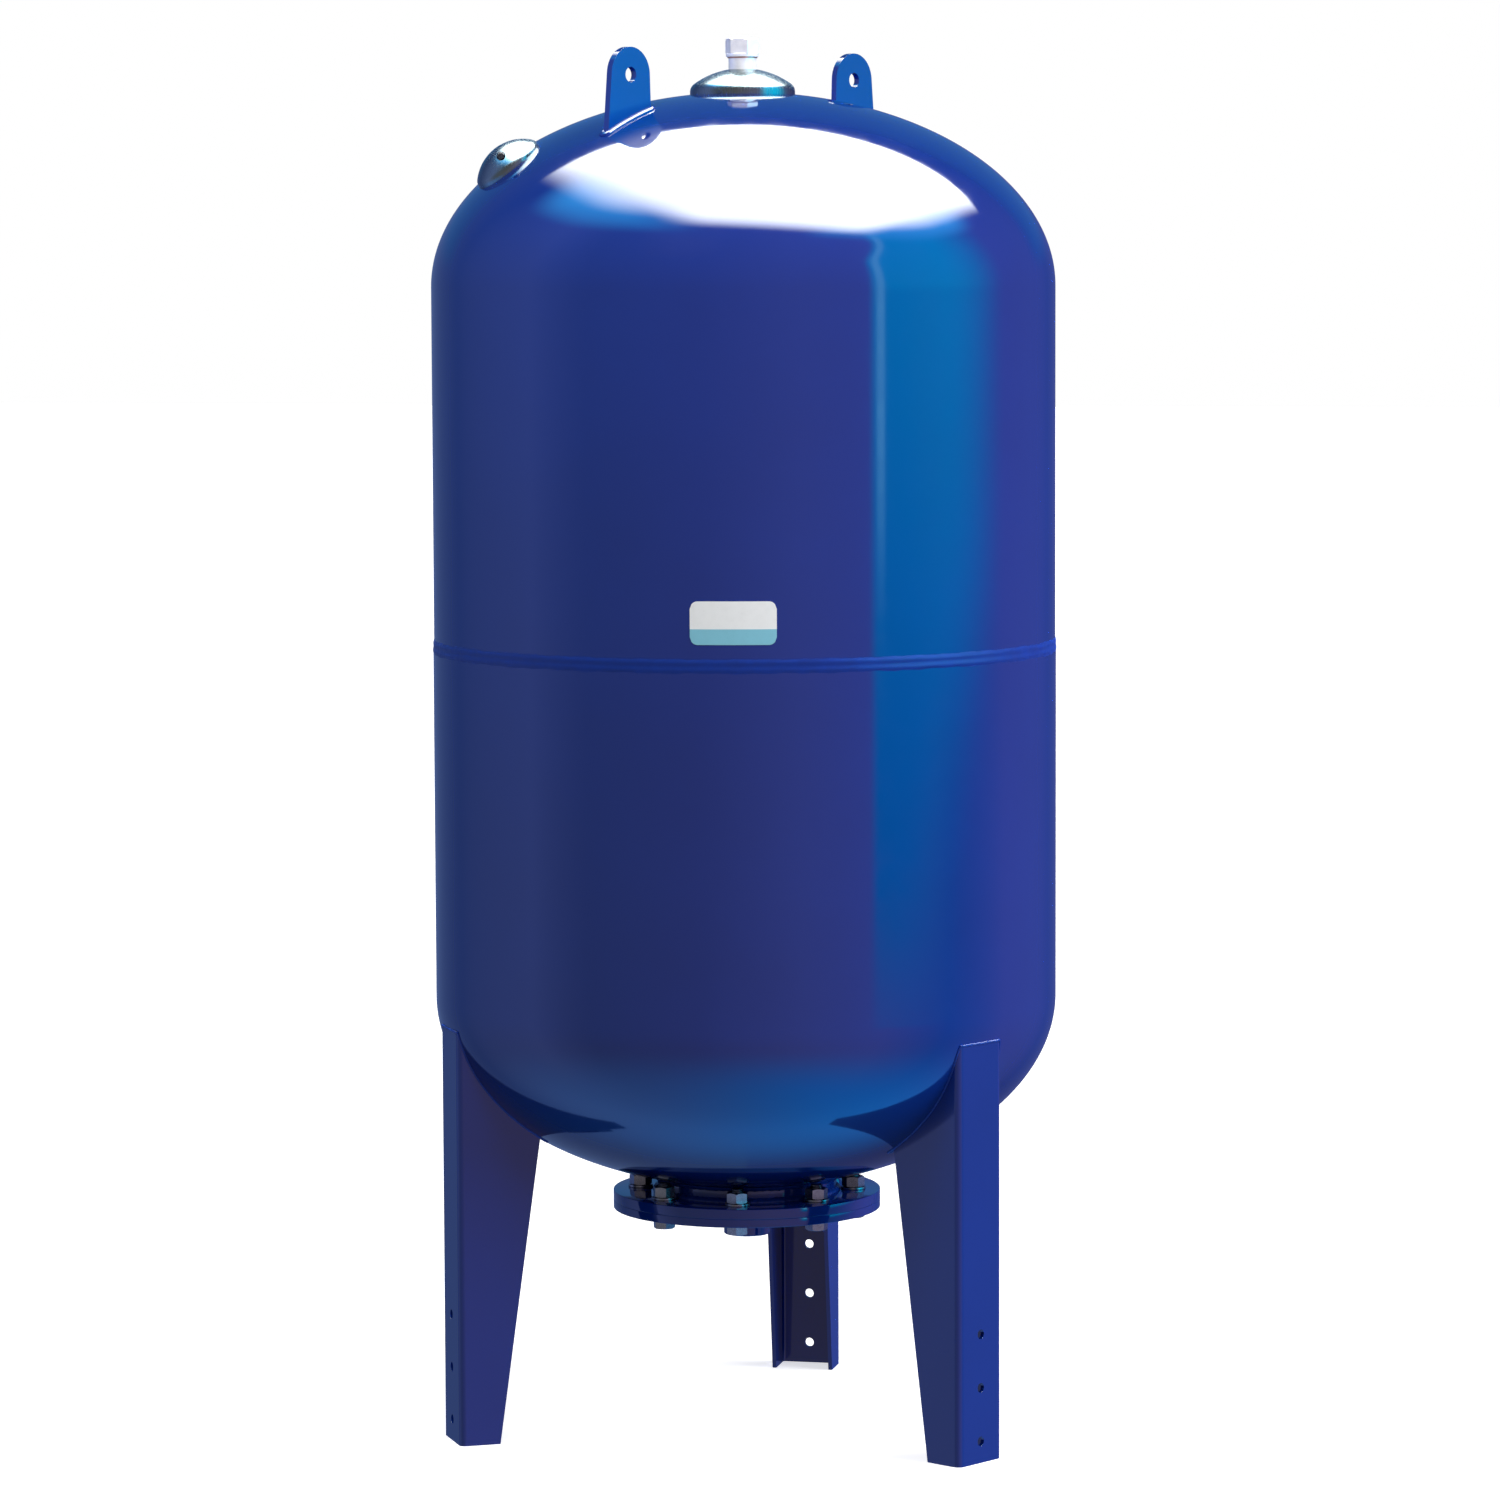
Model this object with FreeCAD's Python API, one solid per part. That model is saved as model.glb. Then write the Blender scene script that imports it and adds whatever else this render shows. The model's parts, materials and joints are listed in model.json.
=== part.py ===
"""Expansion vessel of the 500 litre class, with a replaceable bladder.

A vertical welded steel vessel on three channel legs. A flanged neck at the bottom clamps the
bladder's rim and carries the water connection. A nipple through the top holds the bladder's
upper end and is closed by a plug. An air valve sits under a small dished cover.

Units are millimetres. The origin is on the floor under the vessel's axis, +Z is up, the rear
leg stands towards +Y. An azimuth is measured from -Y, positive towards +X.
"""
import FreeCAD
import Part
import math
import os

Vector = FreeCAD.Vector

# Driving dimensions
VESSEL_RADIUS = 375.0
LAP_STEP = 1.0              # the lower shell's radius is this much larger at the lap joint
WALL = 3.0
HEAD_HEIGHT = 232.0
LOWER_TANGENT_Z = 528.0
UPPER_TANGENT_Z = 1384.0
SEAM_Z = 953.0
JOGGLE_LOW = 2.0            # the joggle of the upper shell, measured up from the seam
JOGGLE_HIGH = 8.0
LAP_LENGTH = 22.0           # how far the upper shell reaches below the seam, inside the lower one
GIRTH_HALF_WIDTH = 9.0
GIRTH_CROWN = 3.8           # crest of the girth weld above the upper shell
FIT_GAP = 0.4               # radial gap where a pipe or bolt passes a plain hole

NECK_RADIUS = 109.5
NECK_WALL = 6.3
FLANGE_RADIUS = 162.5
COUNTERFLANGE_Z = 266.0     # underside of the counterflange
COUNTERFLANGE_THICKNESS = 10.0
RING_THICKNESS = 12.0
NECK_WELD_LEG = 5.0
BOLT_CIRCLE_RADIUS = 130.0
BOLT_COUNT = 8
BOLT_PHASE = 7.5            # azimuth of the first bolt
BOLT_RADIUS = 8.0           # M16
BOLT_CLEARANCE = 0.75
BOLT_THREAD_GAP = 0.1       # radial gap between a bolt and its nut
NUT_ACROSS_FLATS = 24.0
NUT_HEIGHT = 13.0
HEAD_THICKNESS = 10.0
WASHER_RADIUS = 15.0
WASHER_THICKNESS = 3.0
BOLT_END = 4.0              # bolt end that stands out of its nut
BOLT_TIP_CHAMFER = 1.2

SOCKET_RADIUS = 28.0
SOCKET_BORE_RADIUS = 22.4   # G 1 1/2
SOCKET_Z = 232.0
SOCKET_CHAMFER = 1.0

LEG_AZIMUTHS = {"leg_rear": 180.0, "leg_left": -60.0, "leg_right": 60.0}
LEG_RADIUS = 373.0          # outer face of the web
LEG_WIDTH = 78.0
LEG_PLATE = 5.0
LEG_BEND_RADIUS = 8.0
SMALLEST_BEND = 0.2         # inside bend of the grown channel that shapes the leg welds
LEG_FOOT_DEPTH = 49.5
LEG_DEPTH_GAIN = 0.1414     # flange depth gained per unit of height
LEG_TOP_Z = 500.0
LEG_WELD_LEG = 4.0
LEG_HOLE_RADIUS = 5.75
LEG_HOLE_HEIGHTS = (26.0, 90.0, 154.0)

LUG_AZIMUTHS = {"lifting_lug_left": -30.0, "lifting_lug_right": 150.0}
LUG_RADIAL = 198.0          # distance of the eye from the vessel's axis
LUG_EYE_Z = 1633.0
LUG_EYE_RADIUS = 9.0
LUG_TIP_RADIUS = 32.5
LUG_BASE_INNER = 162.0
LUG_BASE_OUTER = 239.0
LUG_ROOT = 25.0             # the base is measured this far below the head at its outer end
LUG_PLATE = 8.0
LUG_WELD_LEG = 5.0

BLADDER_RADIUS = 345.0
BLADDER_HEAD = 201.5
BLADDER_NECK_RADIUS = 97.0
BLADDER_WALL = 2.5
RIM_RADIUS = 118.0
RIM_THICKNESS = 3.5
RIM_GAP = 0.2               # radial gap round the rim in its recess
DISC_RADIUS = 36.0          # disc on the bladder's top
DISC_THICKNESS = 4.0
DISC_NUT_ACROSS_FLATS = 46.0
DISC_NUT_HEIGHT = 6.0

NIPPLE_RADIUS = 16.6        # G 1
NIPPLE_TOP_Z = 1656.0
NIPPLE_BORE_RADIUS = 9.0
NIPPLE_COLLAR_RADIUS = 40.0
NIPPLE_COLLAR_THICKNESS = 9.0
PLUG_RADIUS = 13.2          # G 3/4
PLUG_PITCH = 1.814
PLUG_TURNS = 7
PLUG_ACROSS_FLATS = 36.0
PLUG_TOP_Z = 1680.0
PLUG_COLLAR_RADIUS = 19.5
PLUG_COLLAR_THICKNESS = 4.0
PLUG_RECESS_RADIUS = 8.0
PLUG_RECESS_DEPTH = 2.0
PLUG_WASHER_RADIUS = 18.0
PLUG_WASHER_THICKNESS = 1.5
WASHER_GAP = 0.07           # radial gap between the plug's washer and shank
RUNNING_CLEARANCE = 0.05
TOP_COVER_RADIUS = 63.0
TOP_COVER_Z = 1644.0
TOP_COVER_CROWN = 100.0     # radius of the cover's spherical middle
TOP_COVER_KNUCKLE = 12.0
TOP_COVER_WALL = 1.5
TOP_COVER_SKIRT = 5.0
TOP_BOSS_RADIUS = 30.0
TOP_BOSS_Z = 1622.0
GASKET_RADIUS = 28.0
GASKET_THICKNESS = 2.0
TIE_NUT_ACROSS_FLATS = 50.0
TIE_NUT_HEIGHT = 10.0

VALVE_AZIMUTH = -60.0
VALVE_RADIAL = 292.0        # distance of the valve boss from the vessel's axis
VALVE_COVER_RADIUS = 43.0
VALVE_COVER_HEIGHT = 24.0
VALVE_COVER_CROWN = 55.0
VALVE_COVER_KNUCKLE = 10.0
VALVE_COVER_WALL = 1.2
VALVE_COVER_SKIRT = 8.0
VALVE_HOLE_RADIUS = 6.0     # hole through the shell under the valve
VALVE_PAD_DROP = 0.6        # the pad ends this far below the head's tangent plane
VALVE_SEAT_RADIUS = 10.0
VALVE_SEAT_TOP = 3.0
VALVE_SEAL_RADIUS = 8.0
VALVE_SEAL_TOP = 4.5
SHANK_RADIUS = 5.0
SHANK_BOTTOM = -12.0
SHOULDER_ACROSS_FLATS = 14.0
SHOULDER_TOP = 8.0
VALVE_LEAN = 79.0           # angle between the boss's axis and the valve stem
VALVE_LEAN_SIDE = 14.0      # turn of the lean from level towards downhill
VALVE_ELBOW_Z = 11.5        # elbow's height over the shell, along the boss's axis
STEM_RADIUS = 3.85          # 8V1
STEM_END = 24.0             # stem end, from the elbow
ELBOW_RADIUS = 6.0
INLET_RADIUS = 2.5
CORE_BORE_RADIUS = 2.6
SEAT_RADIUS = 1.5           # bore of the valve seat
SEAT_LOW = 8.0              # ends of the seat's wall, along the stem
SEAT_HIGH = 10.0
GUIDE_LOW = 21.0            # start of the wall that guides the pin
VENT_RADIUS = 0.45
VENT_OFFSET = 1.8
VENT_COUNT = 3
PIN_RADIUS = 0.95
PIN_BOTTOM = 5.0
PIN_PROUD = 0.4             # pin end that stands out of the stem
PIN_PLATE_RADIUS = 2.2
PIN_PLATE_THICKNESS = 1.95
PIN_PLATE_BOTTOM = 6.0
PIN_SHOULDER_BOTTOM = 18.0
PIN_SHOULDER_RADIUS = 1.9
PIN_SHOULDER_THICKNESS = 1.0
SPRING_RADIUS = 1.9
SPRING_WIRE_RADIUS = 0.2
SPRING_COILS = 6
SPRING_END_GAP = 0.05
CAP_PITCH = 0.794
CAP_TURNS = 8
CAP_RADIUS = 4.6
CAP_END = 30.0
CAP_EDGE_RADIUS = 0.8
CAP_SEAL_THICKNESS = 0.6
CAP_SEAL_HOLE_RADIUS = 1.6
CAP_SEAL_GAP = 0.1          # gap behind the cap's rubber disc

LABEL_AZIMUTH = 10.5
LABEL_Z = 1003.0
LABEL_WIDTH = 100.0
LABEL_HEIGHT = 50.0
LABEL_THICKNESS = 0.6
LABEL_CORNER = 9.0

# Derived sizes
LOWER_RADIUS = VESSEL_RADIUS + LAP_STEP
VESSEL_TOP_Z = UPPER_TANGENT_Z + HEAD_HEIGHT
RING_Z = COUNTERFLANGE_Z + COUNTERFLANGE_THICKNESS
RING_TOP_Z = RING_Z + RING_THICKNESS
RIM_TOP_Z = RING_Z + RIM_THICKNESS
BLADDER_TOP_Z = UPPER_TANGENT_Z + BLADDER_HEAD
PLUG_SHANK = PLUG_PITCH * PLUG_TURNS
CAP_SKIRT = CAP_PITCH * CAP_TURNS
CHAMFER_START = 0.97        # a hexagon's chamfer starts at this share of its inscribed radius
CHAMFER_SLOPE = 0.55        # and drops by this share of its width
LOWER_BOTTOM_Z = LOWER_TANGENT_Z - HEAD_HEIGHT
OVERCUT = 5.0               # how far a cutting body passes the face it cuts
HAIR = 0.01                 # tolerance when edges are picked by position
AXIS_Z = Vector(0, 0, 1)
ORIGIN = Vector(0, 0, 0)


# Basic shapes

def cylinder(radius, low, high):
    """Cylinder on the Z axis between two heights."""
    return Part.makeCylinder(radius, high - low, Vector(0, 0, low))


def tube(outer, inner, low, high):
    """Hollow cylinder on the Z axis between two heights."""
    return cylinder(outer, low, high).cut(cylinder(inner, low - 1, high + 1))


def revolve(edges):
    """Solid made by turning a closed profile in the XZ plane about the Z axis."""
    face = Part.Face(Part.Wire(Part.__sortEdges__(edges)))
    return face.revolve(ORIGIN, AXIS_Z, 360)


def line(start, end):
    """Straight edge between two (r, z) points of the XZ plane."""
    return Part.makeLine(Vector(start[0], 0, start[1]), Vector(end[0], 0, end[1]))


def arc(start, middle, end):
    """Circular edge through three (r, z) points of the XZ plane."""
    points = [Vector(p[0], 0, p[1]) for p in (start, middle, end)]
    return Part.Arc(*points).toShape()


def outline(points):
    """Edges of a closed polygon of (r, z) points."""
    return [line(a, b) for a, b in zip(points, points[1:] + points[:1])]


def head_arc(radius, height, tangent_z):
    """Quarter ellipse from the wall at the tangent height to the axis; a negative height hangs down."""
    centre = Vector(0, 0, tangent_z)
    wall = Vector(radius, 0, tangent_z)
    apex = Vector(0, 0, tangent_z + height)
    ellipse = Part.Ellipse(wall, apex, centre)
    return Part.ArcOfEllipse(ellipse, 0, math.pi / 2).toShape()


def head_z(distance, radius=VESSEL_RADIUS, height=HEAD_HEIGHT):
    """Height of an elliptic head above its tangent line at a distance from the axis."""
    return height * math.sqrt(1 - (distance / radius) ** 2)


def capsule(radius, head_height):
    """Solid with the outline of the vessel, for one radius and head height."""
    low = LOWER_TANGENT_Z - head_height
    high = UPPER_TANGENT_Z + head_height
    edges = [
        head_arc(radius, -head_height, LOWER_TANGENT_Z),
        line((radius, LOWER_TANGENT_Z), (radius, UPPER_TANGENT_Z)),
        head_arc(radius, head_height, UPPER_TANGENT_Z),
        line((0, high), (0, low)),
    ]
    return revolve(edges)


def grown_capsule(radius, growth):
    """The vessel's outline, larger all round by the growth."""
    return capsule(radius + growth, HEAD_HEIGHT + growth)


def hexagon(across_flats, low, high, chamfer_low=True, chamfer_high=True):
    """Hexagonal prism on the Z axis with turned chamfers at its ends."""
    corner = across_flats / 2 / math.cos(math.pi / 6)
    points = []
    for step in range(7):
        angle = math.radians(60 * step)
        points.append(Vector(corner * math.cos(angle), corner * math.sin(angle), low))
    prism = Part.Face(Part.makePolygon(points)).extrude(Vector(0, 0, high - low))
    flat = across_flats / 2 * CHAMFER_START
    drop = (corner - flat) * CHAMFER_SLOPE
    low_radius = flat if chamfer_low else corner
    high_radius = flat if chamfer_high else corner
    edges = outline([
        (0, low),
        (low_radius, low),
        (corner, low + (drop if chamfer_low else HAIR)),
        (corner, high - (drop if chamfer_high else HAIR)),
        (high_radius, high),
        (0, high),
    ])
    return prism.common(revolve(edges))


def turned(shape, azimuth):
    """Shape turned about the Z axis so that its local +X points along an azimuth."""
    copy = shape.copy()
    copy.rotate(ORIGIN, AXIS_Z, azimuth - 90)
    return copy


def around(shape, count, first_azimuth):
    """Compound of copies of a shape, spaced evenly about the Z axis."""
    step = 360.0 / count
    return Part.makeCompound([turned(shape, first_azimuth + step * i) for i in range(count)])


def dished_cover(radius, height, crown, knuckle, wall, hole, skirt):
    """Pressed cover: spherical crown, knuckle and a skirt that reaches below its base plane."""
    crown_z = height - crown
    knuckle_r = radius - knuckle
    knuckle_z = crown_z + math.sqrt((crown - knuckle) ** 2 - knuckle_r ** 2)
    edges = []
    ends = []
    for offset in (0.0, wall):
        crown_radius = crown - offset
        bend = knuckle - offset
        half = math.atan2(knuckle_r, knuckle_z - crown_z)
        start_angle = math.asin(hole / crown_radius) if hole else 0.0
        middle_angle = (start_angle + half) / 2

        def on_crown(angle):
            return (crown_radius * math.sin(angle), crown_z + crown_radius * math.cos(angle))

        bend_angle = (half + math.pi / 2) / 2
        bend_middle = (knuckle_r + bend * math.sin(bend_angle), knuckle_z + bend * math.cos(bend_angle))
        rim = (radius - offset, knuckle_z)
        foot = (radius - offset, -skirt)
        edges.append(arc(on_crown(start_angle), on_crown(middle_angle), on_crown(half)))
        edges.append(arc(on_crown(half), bend_middle, rim))
        edges.append(line(rim, foot))
        ends.append((on_crown(start_angle), foot))
    edges.append(line(ends[0][0], ends[1][0]))
    edges.append(line(ends[0][1], ends[1][1]))
    return revolve(edges)


# Vessel

def upper_shell():
    """Upper half shell, with its lower edge joggled inwards to lap inside the lower one."""
    outer = VESSEL_RADIUS
    tongue = LOWER_RADIUS - WALL
    bend_low = SEAM_Z + JOGGLE_LOW
    bend_high = SEAM_Z + JOGGLE_HIGH
    tongue_end = SEAM_Z - LAP_LENGTH
    edges = [
        head_arc(outer, HEAD_HEIGHT, UPPER_TANGENT_Z),
        line((outer, UPPER_TANGENT_Z), (outer, bend_high)),
        line((outer, bend_high), (tongue, bend_low)),
        line((tongue, bend_low), (tongue, tongue_end)),
        line((tongue, tongue_end), (tongue - WALL, tongue_end)),
        line((tongue - WALL, tongue_end), (tongue - WALL, bend_low)),
        line((tongue - WALL, bend_low), (outer - WALL, bend_high)),
        line((outer - WALL, bend_high), (outer - WALL, UPPER_TANGENT_Z)),
        head_arc(outer - WALL, HEAD_HEIGHT - WALL, UPPER_TANGENT_Z),
        line((0, VESSEL_TOP_Z - WALL), (0, VESSEL_TOP_Z)),
    ]
    shell = revolve(edges)
    shell = shell.cut(cylinder(NIPPLE_RADIUS + FIT_GAP, VESSEL_TOP_Z - 4 * WALL, VESSEL_TOP_Z + OVERCUT))
    return shell.cut(on_valve_boss(cylinder(VALVE_HOLE_RADIUS, -4 * WALL, OVERCUT)))


def lower_shell():
    """Lower half shell with the hole for the neck."""
    outer = LOWER_RADIUS
    edge_z = SEAM_Z - JOGGLE_LOW
    edges = [
        head_arc(outer, -HEAD_HEIGHT, LOWER_TANGENT_Z),
        line((outer, LOWER_TANGENT_Z), (outer, edge_z)),
        line((outer, edge_z), (outer - WALL, edge_z)),
        line((outer - WALL, edge_z), (outer - WALL, LOWER_TANGENT_Z)),
        head_arc(outer - WALL, WALL - HEAD_HEIGHT, LOWER_TANGENT_Z),
        line((0, LOWER_BOTTOM_Z + WALL), (0, LOWER_BOTTOM_Z)),
    ]
    return revolve(edges).cut(cylinder(NECK_RADIUS, LOWER_BOTTOM_Z - OVERCUT, LOWER_TANGENT_Z))


def girth_weld(upper, lower):
    """Weld bead that fills the joggle between the half shells."""
    crest = VESSEL_RADIUS + GIRTH_CROWN
    inside = LOWER_RADIUS - WALL
    low = (LOWER_RADIUS, SEAM_Z - GIRTH_HALF_WIDTH)
    high = (VESSEL_RADIUS, SEAM_Z + GIRTH_HALF_WIDTH)
    edges = [
        arc(low, (crest, SEAM_Z), high),
        line(high, (inside, high[1])),
        line((inside, high[1]), (inside, low[1])),
        line((inside, low[1]), low),
    ]
    return revolve(edges).cut(upper).cut(lower)


# Neck and flanges

def neck_collar():
    """Short pipe between the lower head and the neck flange."""
    top = LOWER_TANGENT_Z - head_z(NECK_RADIUS, LOWER_RADIUS) + 4 * WALL
    return tube(NECK_RADIUS, NECK_RADIUS - NECK_WALL, RIM_TOP_Z, top)


def bolt_holes(low, high):
    """Clearance holes for the flange bolts."""
    hole = cylinder(BOLT_RADIUS + BOLT_CLEARANCE, low - 1, high + 1)
    hole.translate(Vector(BOLT_CIRCLE_RADIUS, 0, 0))
    return around(hole, BOLT_COUNT, BOLT_PHASE)


def neck_flange_ring():
    """Ring welded round the neck, recessed underneath for the bladder's rim."""
    ring = tube(FLANGE_RADIUS, NECK_RADIUS, RING_Z, RING_TOP_Z)
    ring = ring.cut(cylinder(RIM_RADIUS + RIM_GAP, RING_Z - 1, RIM_TOP_Z))
    ring = ring.cut(bolt_holes(RING_Z, RING_TOP_Z))
    return ring


def neck_welds():
    """Fillet welds of the neck to the head and to its flange ring."""
    leg = NECK_WELD_LEG
    inner = NECK_RADIUS
    low_bead = revolve(outline([(inner, RING_TOP_Z), (inner + leg, RING_TOP_Z), (inner, RING_TOP_Z + leg)]))
    top = LOWER_TANGENT_Z - head_z(inner, LOWER_RADIUS)
    blank = revolve(outline([(inner, top - leg), (inner + leg, top + WALL), (inner, top + WALL)]))
    high_bead = blank.cut(capsule(LOWER_RADIUS, HEAD_HEIGHT))
    return Part.makeCompound([low_bead, high_bead])


def counterflange():
    """Flat disc bolted under the neck, with the water connection through its middle."""
    disc = tube(FLANGE_RADIUS, SOCKET_RADIUS, COUNTERFLANGE_Z, RING_Z)
    return disc.cut(bolt_holes(COUNTERFLANGE_Z, RING_Z))


def water_connection():
    """Threaded socket of the system connection, its thread stood in for by a plain bore."""
    socket = tube(SOCKET_RADIUS, SOCKET_BORE_RADIUS, SOCKET_Z, RING_Z)
    rim = [edge for edge in socket.Edges if abs(edge.BoundBox.ZMax - SOCKET_Z) < HAIR]
    return socket.makeChamfer(SOCKET_CHAMFER, rim)


def socket_weld():
    """Fillet weld of the socket to the counterflange."""
    leg = NECK_WELD_LEG
    corner = (SOCKET_RADIUS, COUNTERFLANGE_Z)
    return revolve(outline([corner, (corner[0] + leg, corner[1]), (corner[0], corner[1] - leg)]))


def flange_bolts():
    """Hexagon bolts, put in from below."""
    head_z_low = COUNTERFLANGE_Z - WASHER_THICKNESS - HEAD_THICKNESS
    head = hexagon(NUT_ACROSS_FLATS, head_z_low, head_z_low + HEAD_THICKNESS, True, False)
    end = RING_TOP_Z + WASHER_THICKNESS + NUT_HEIGHT + BOLT_END
    shank = cylinder(BOLT_RADIUS - BOLT_THREAD_GAP, head_z_low + HEAD_THICKNESS, end)
    tip = [edge for edge in shank.Edges if edge.BoundBox.ZMin > end - HAIR]
    bolt = head.fuse(shank.makeChamfer(BOLT_TIP_CHAMFER, tip)).removeSplitter()
    bolt.translate(Vector(BOLT_CIRCLE_RADIUS, 0, 0))
    return around(bolt, BOLT_COUNT, BOLT_PHASE)


def flange_nuts():
    """Hexagon nuts on the flange ring."""
    low = RING_TOP_Z + WASHER_THICKNESS
    nut = hexagon(NUT_ACROSS_FLATS, low, low + NUT_HEIGHT)
    nut = nut.cut(cylinder(BOLT_RADIUS, low - 1, low + NUT_HEIGHT + 1))
    nut.translate(Vector(BOLT_CIRCLE_RADIUS, 0, 0))
    return around(nut, BOLT_COUNT, BOLT_PHASE)


def flange_washers():
    """Plain washers under every bolt head and nut."""
    washers = []
    for low in (COUNTERFLANGE_Z - WASHER_THICKNESS, RING_TOP_Z):
        washer = tube(WASHER_RADIUS, BOLT_RADIUS + FIT_GAP, low, low + WASHER_THICKNESS)
        washer.translate(Vector(BOLT_CIRCLE_RADIUS, 0, 0))
        washers.extend(around(washer, BOLT_COUNT, BOLT_PHASE).Solids)
    return Part.makeCompound(washers)


# Legs

def rounded_u(outer_u, half_width, depth, bend, low, high):
    """Channel-shaped block: its far corners are rounded, its open side is at outer_u minus depth."""
    block = Part.makeBox(depth, 2 * half_width, high - low, Vector(outer_u - depth, -half_width, low))
    corners = [
        edge for edge in block.Edges
        if edge.BoundBox.XMin > outer_u - HAIR and edge.BoundBox.ZLength > 1 and edge.BoundBox.YLength < HAIR
    ]
    return block.makeFillet(bend, corners)


def leg_blank(growth):
    """One bent channel before it is cut to the vessel; a growth thickens it all round."""
    plate = LEG_PLATE + growth
    half = LEG_WIDTH / 2
    depth = LEG_FOOT_DEPTH + LEG_DEPTH_GAIN * LEG_TOP_Z
    top = LEG_TOP_Z + growth
    outer_bend = LEG_BEND_RADIUS + growth
    inner_bend = max(LEG_BEND_RADIUS - plate, SMALLEST_BEND)
    outside = rounded_u(LEG_RADIUS + growth, half + growth, depth + 2 * growth, outer_bend, 0, top)
    reach = depth + 2 * growth + OVERCUT
    inside = rounded_u(LEG_RADIUS - plate, half - plate, reach, inner_bend, -1, top + 1)
    foot_u = LEG_RADIUS - LEG_FOOT_DEPTH - growth
    side = Part.makePolygon([
        Vector(foot_u, 0, 0),
        Vector(LEG_RADIUS + growth + 1, 0, 0),
        Vector(LEG_RADIUS + growth + 1, 0, top),
        Vector(foot_u - LEG_DEPTH_GAIN * top, 0, top),
        Vector(foot_u, 0, 0),
    ])
    prism = Part.Face(side).extrude(Vector(0, 2 * LEG_WIDTH, 0))
    prism.translate(Vector(0, -LEG_WIDTH, 0))
    return outside.cut(inside).common(prism)


def leg(blank, vessel):
    """Channel leg cut to the lower head, with the fixing holes in its web; local +X is outwards."""
    shape = blank.cut(vessel)
    for height in LEG_HOLE_HEIGHTS:
        start = Vector(LEG_RADIUS - LEG_PLATE - OVERCUT, 0, height)
        hole = Part.makeCylinder(LEG_HOLE_RADIUS, LEG_PLATE + 2 * OVERCUT, start, Vector(1, 0, 0))
        shape = shape.cut(hole)
    return shape


def leg_weld(blank, vessel):
    """Fillet weld along the line where a leg meets the head."""
    strip = leg_blank(LEG_WELD_LEG).common(grown_capsule(LOWER_RADIUS, LEG_WELD_LEG))
    return strip.cut(vessel).cut(blank)


# Lifting lugs

def tangent_point(base, side):
    """Point where the line from a base point touches the lug's round tip."""
    dx = base[0] - LUG_RADIAL
    dz = base[1] - LUG_EYE_Z
    angle = math.atan2(dz, dx) + side * math.acos(LUG_TIP_RADIUS / math.hypot(dx, dz))
    return (LUG_RADIAL + LUG_TIP_RADIUS * math.cos(angle), LUG_EYE_Z + LUG_TIP_RADIUS * math.sin(angle))


def lug_blank(growth):
    """Lug plate before it is cut to the vessel, upright in the local XZ plane."""
    base_z = UPPER_TANGENT_Z + head_z(LUG_BASE_OUTER) - LUG_ROOT
    inner = (LUG_BASE_INNER, base_z)
    outer = (LUG_BASE_OUTER, base_z)
    inner_touch = tangent_point(inner, -1)
    outer_touch = tangent_point(outer, 1)
    tip = (LUG_RADIAL, LUG_EYE_Z + LUG_TIP_RADIUS)
    edges = [
        line(inner, inner_touch),
        arc(inner_touch, tip, outer_touch),
        line(outer_touch, outer),
        line(outer, inner),
    ]
    wire = Part.Wire(Part.__sortEdges__(edges))
    if growth:
        wire = wire.makeOffset2D(growth)
    thickness = LUG_PLATE + 2 * growth
    plate = Part.Face(wire).extrude(Vector(0, thickness, 0))
    plate.translate(Vector(0, -thickness / 2, 0))
    return plate


def lifting_lug(blank, vessel):
    """Plate lug with a round eye; local +X is outwards."""
    start = Vector(LUG_RADIAL, -LUG_PLATE, LUG_EYE_Z)
    eye = Part.makeCylinder(LUG_EYE_RADIUS, 2 * LUG_PLATE, start, Vector(0, 1, 0))
    return blank.cut(vessel).cut(eye)


def lug_weld(blank, vessel):
    """Fillet weld all round the foot of a lug."""
    strip = lug_blank(LUG_WELD_LEG).common(grown_capsule(VESSEL_RADIUS, LUG_WELD_LEG))
    return strip.cut(vessel).cut(blank)


# Bladder and top fitting

def bladder_space(inset):
    """Solid inside the bladder's outer skin, smaller all round by the inset."""
    body = capsule(BLADDER_RADIUS - inset, BLADDER_HEAD - inset)
    neck = cylinder(BLADDER_NECK_RADIUS - inset, RING_Z, LOWER_TANGENT_Z)
    return body.fuse(neck)


def bladder(space):
    """Rubber bladder with its clamped rim, filled out to its moulded shape."""
    rim = tube(RIM_RADIUS, BLADDER_NECK_RADIUS - BLADDER_WALL, RING_Z, RIM_TOP_Z)
    skin = space.fuse(rim).cut(bladder_space(BLADDER_WALL))
    top_hole = cylinder(NIPPLE_RADIUS, BLADDER_TOP_Z - 4 * BLADDER_WALL, BLADDER_TOP_Z + OVERCUT)
    return skin.cut(top_hole).cut(cylinder(BLADDER_NECK_RADIUS - BLADDER_WALL, RING_Z - 1, RIM_TOP_Z))


def tie_nipple():
    """Threaded nipple from the bladder's top through the shell, with a collar inside the bladder."""
    low = BLADDER_TOP_Z - NIPPLE_COLLAR_THICKNESS
    collar = cylinder(NIPPLE_COLLAR_RADIUS, low, BLADDER_TOP_Z).common(bladder_space(BLADDER_WALL))
    body = cylinder(NIPPLE_RADIUS, low, NIPPLE_TOP_Z).fuse(collar)
    bore = cylinder(NIPPLE_BORE_RADIUS, low - OVERCUT, NIPPLE_TOP_Z)
    thread_low = NIPPLE_TOP_Z - PLUG_SHANK - 2 * PLUG_WASHER_THICKNESS
    thread = cylinder(PLUG_RADIUS + RUNNING_CLEARANCE, thread_low, NIPPLE_TOP_Z + 1)
    return body.cut(bore).cut(thread)


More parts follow.
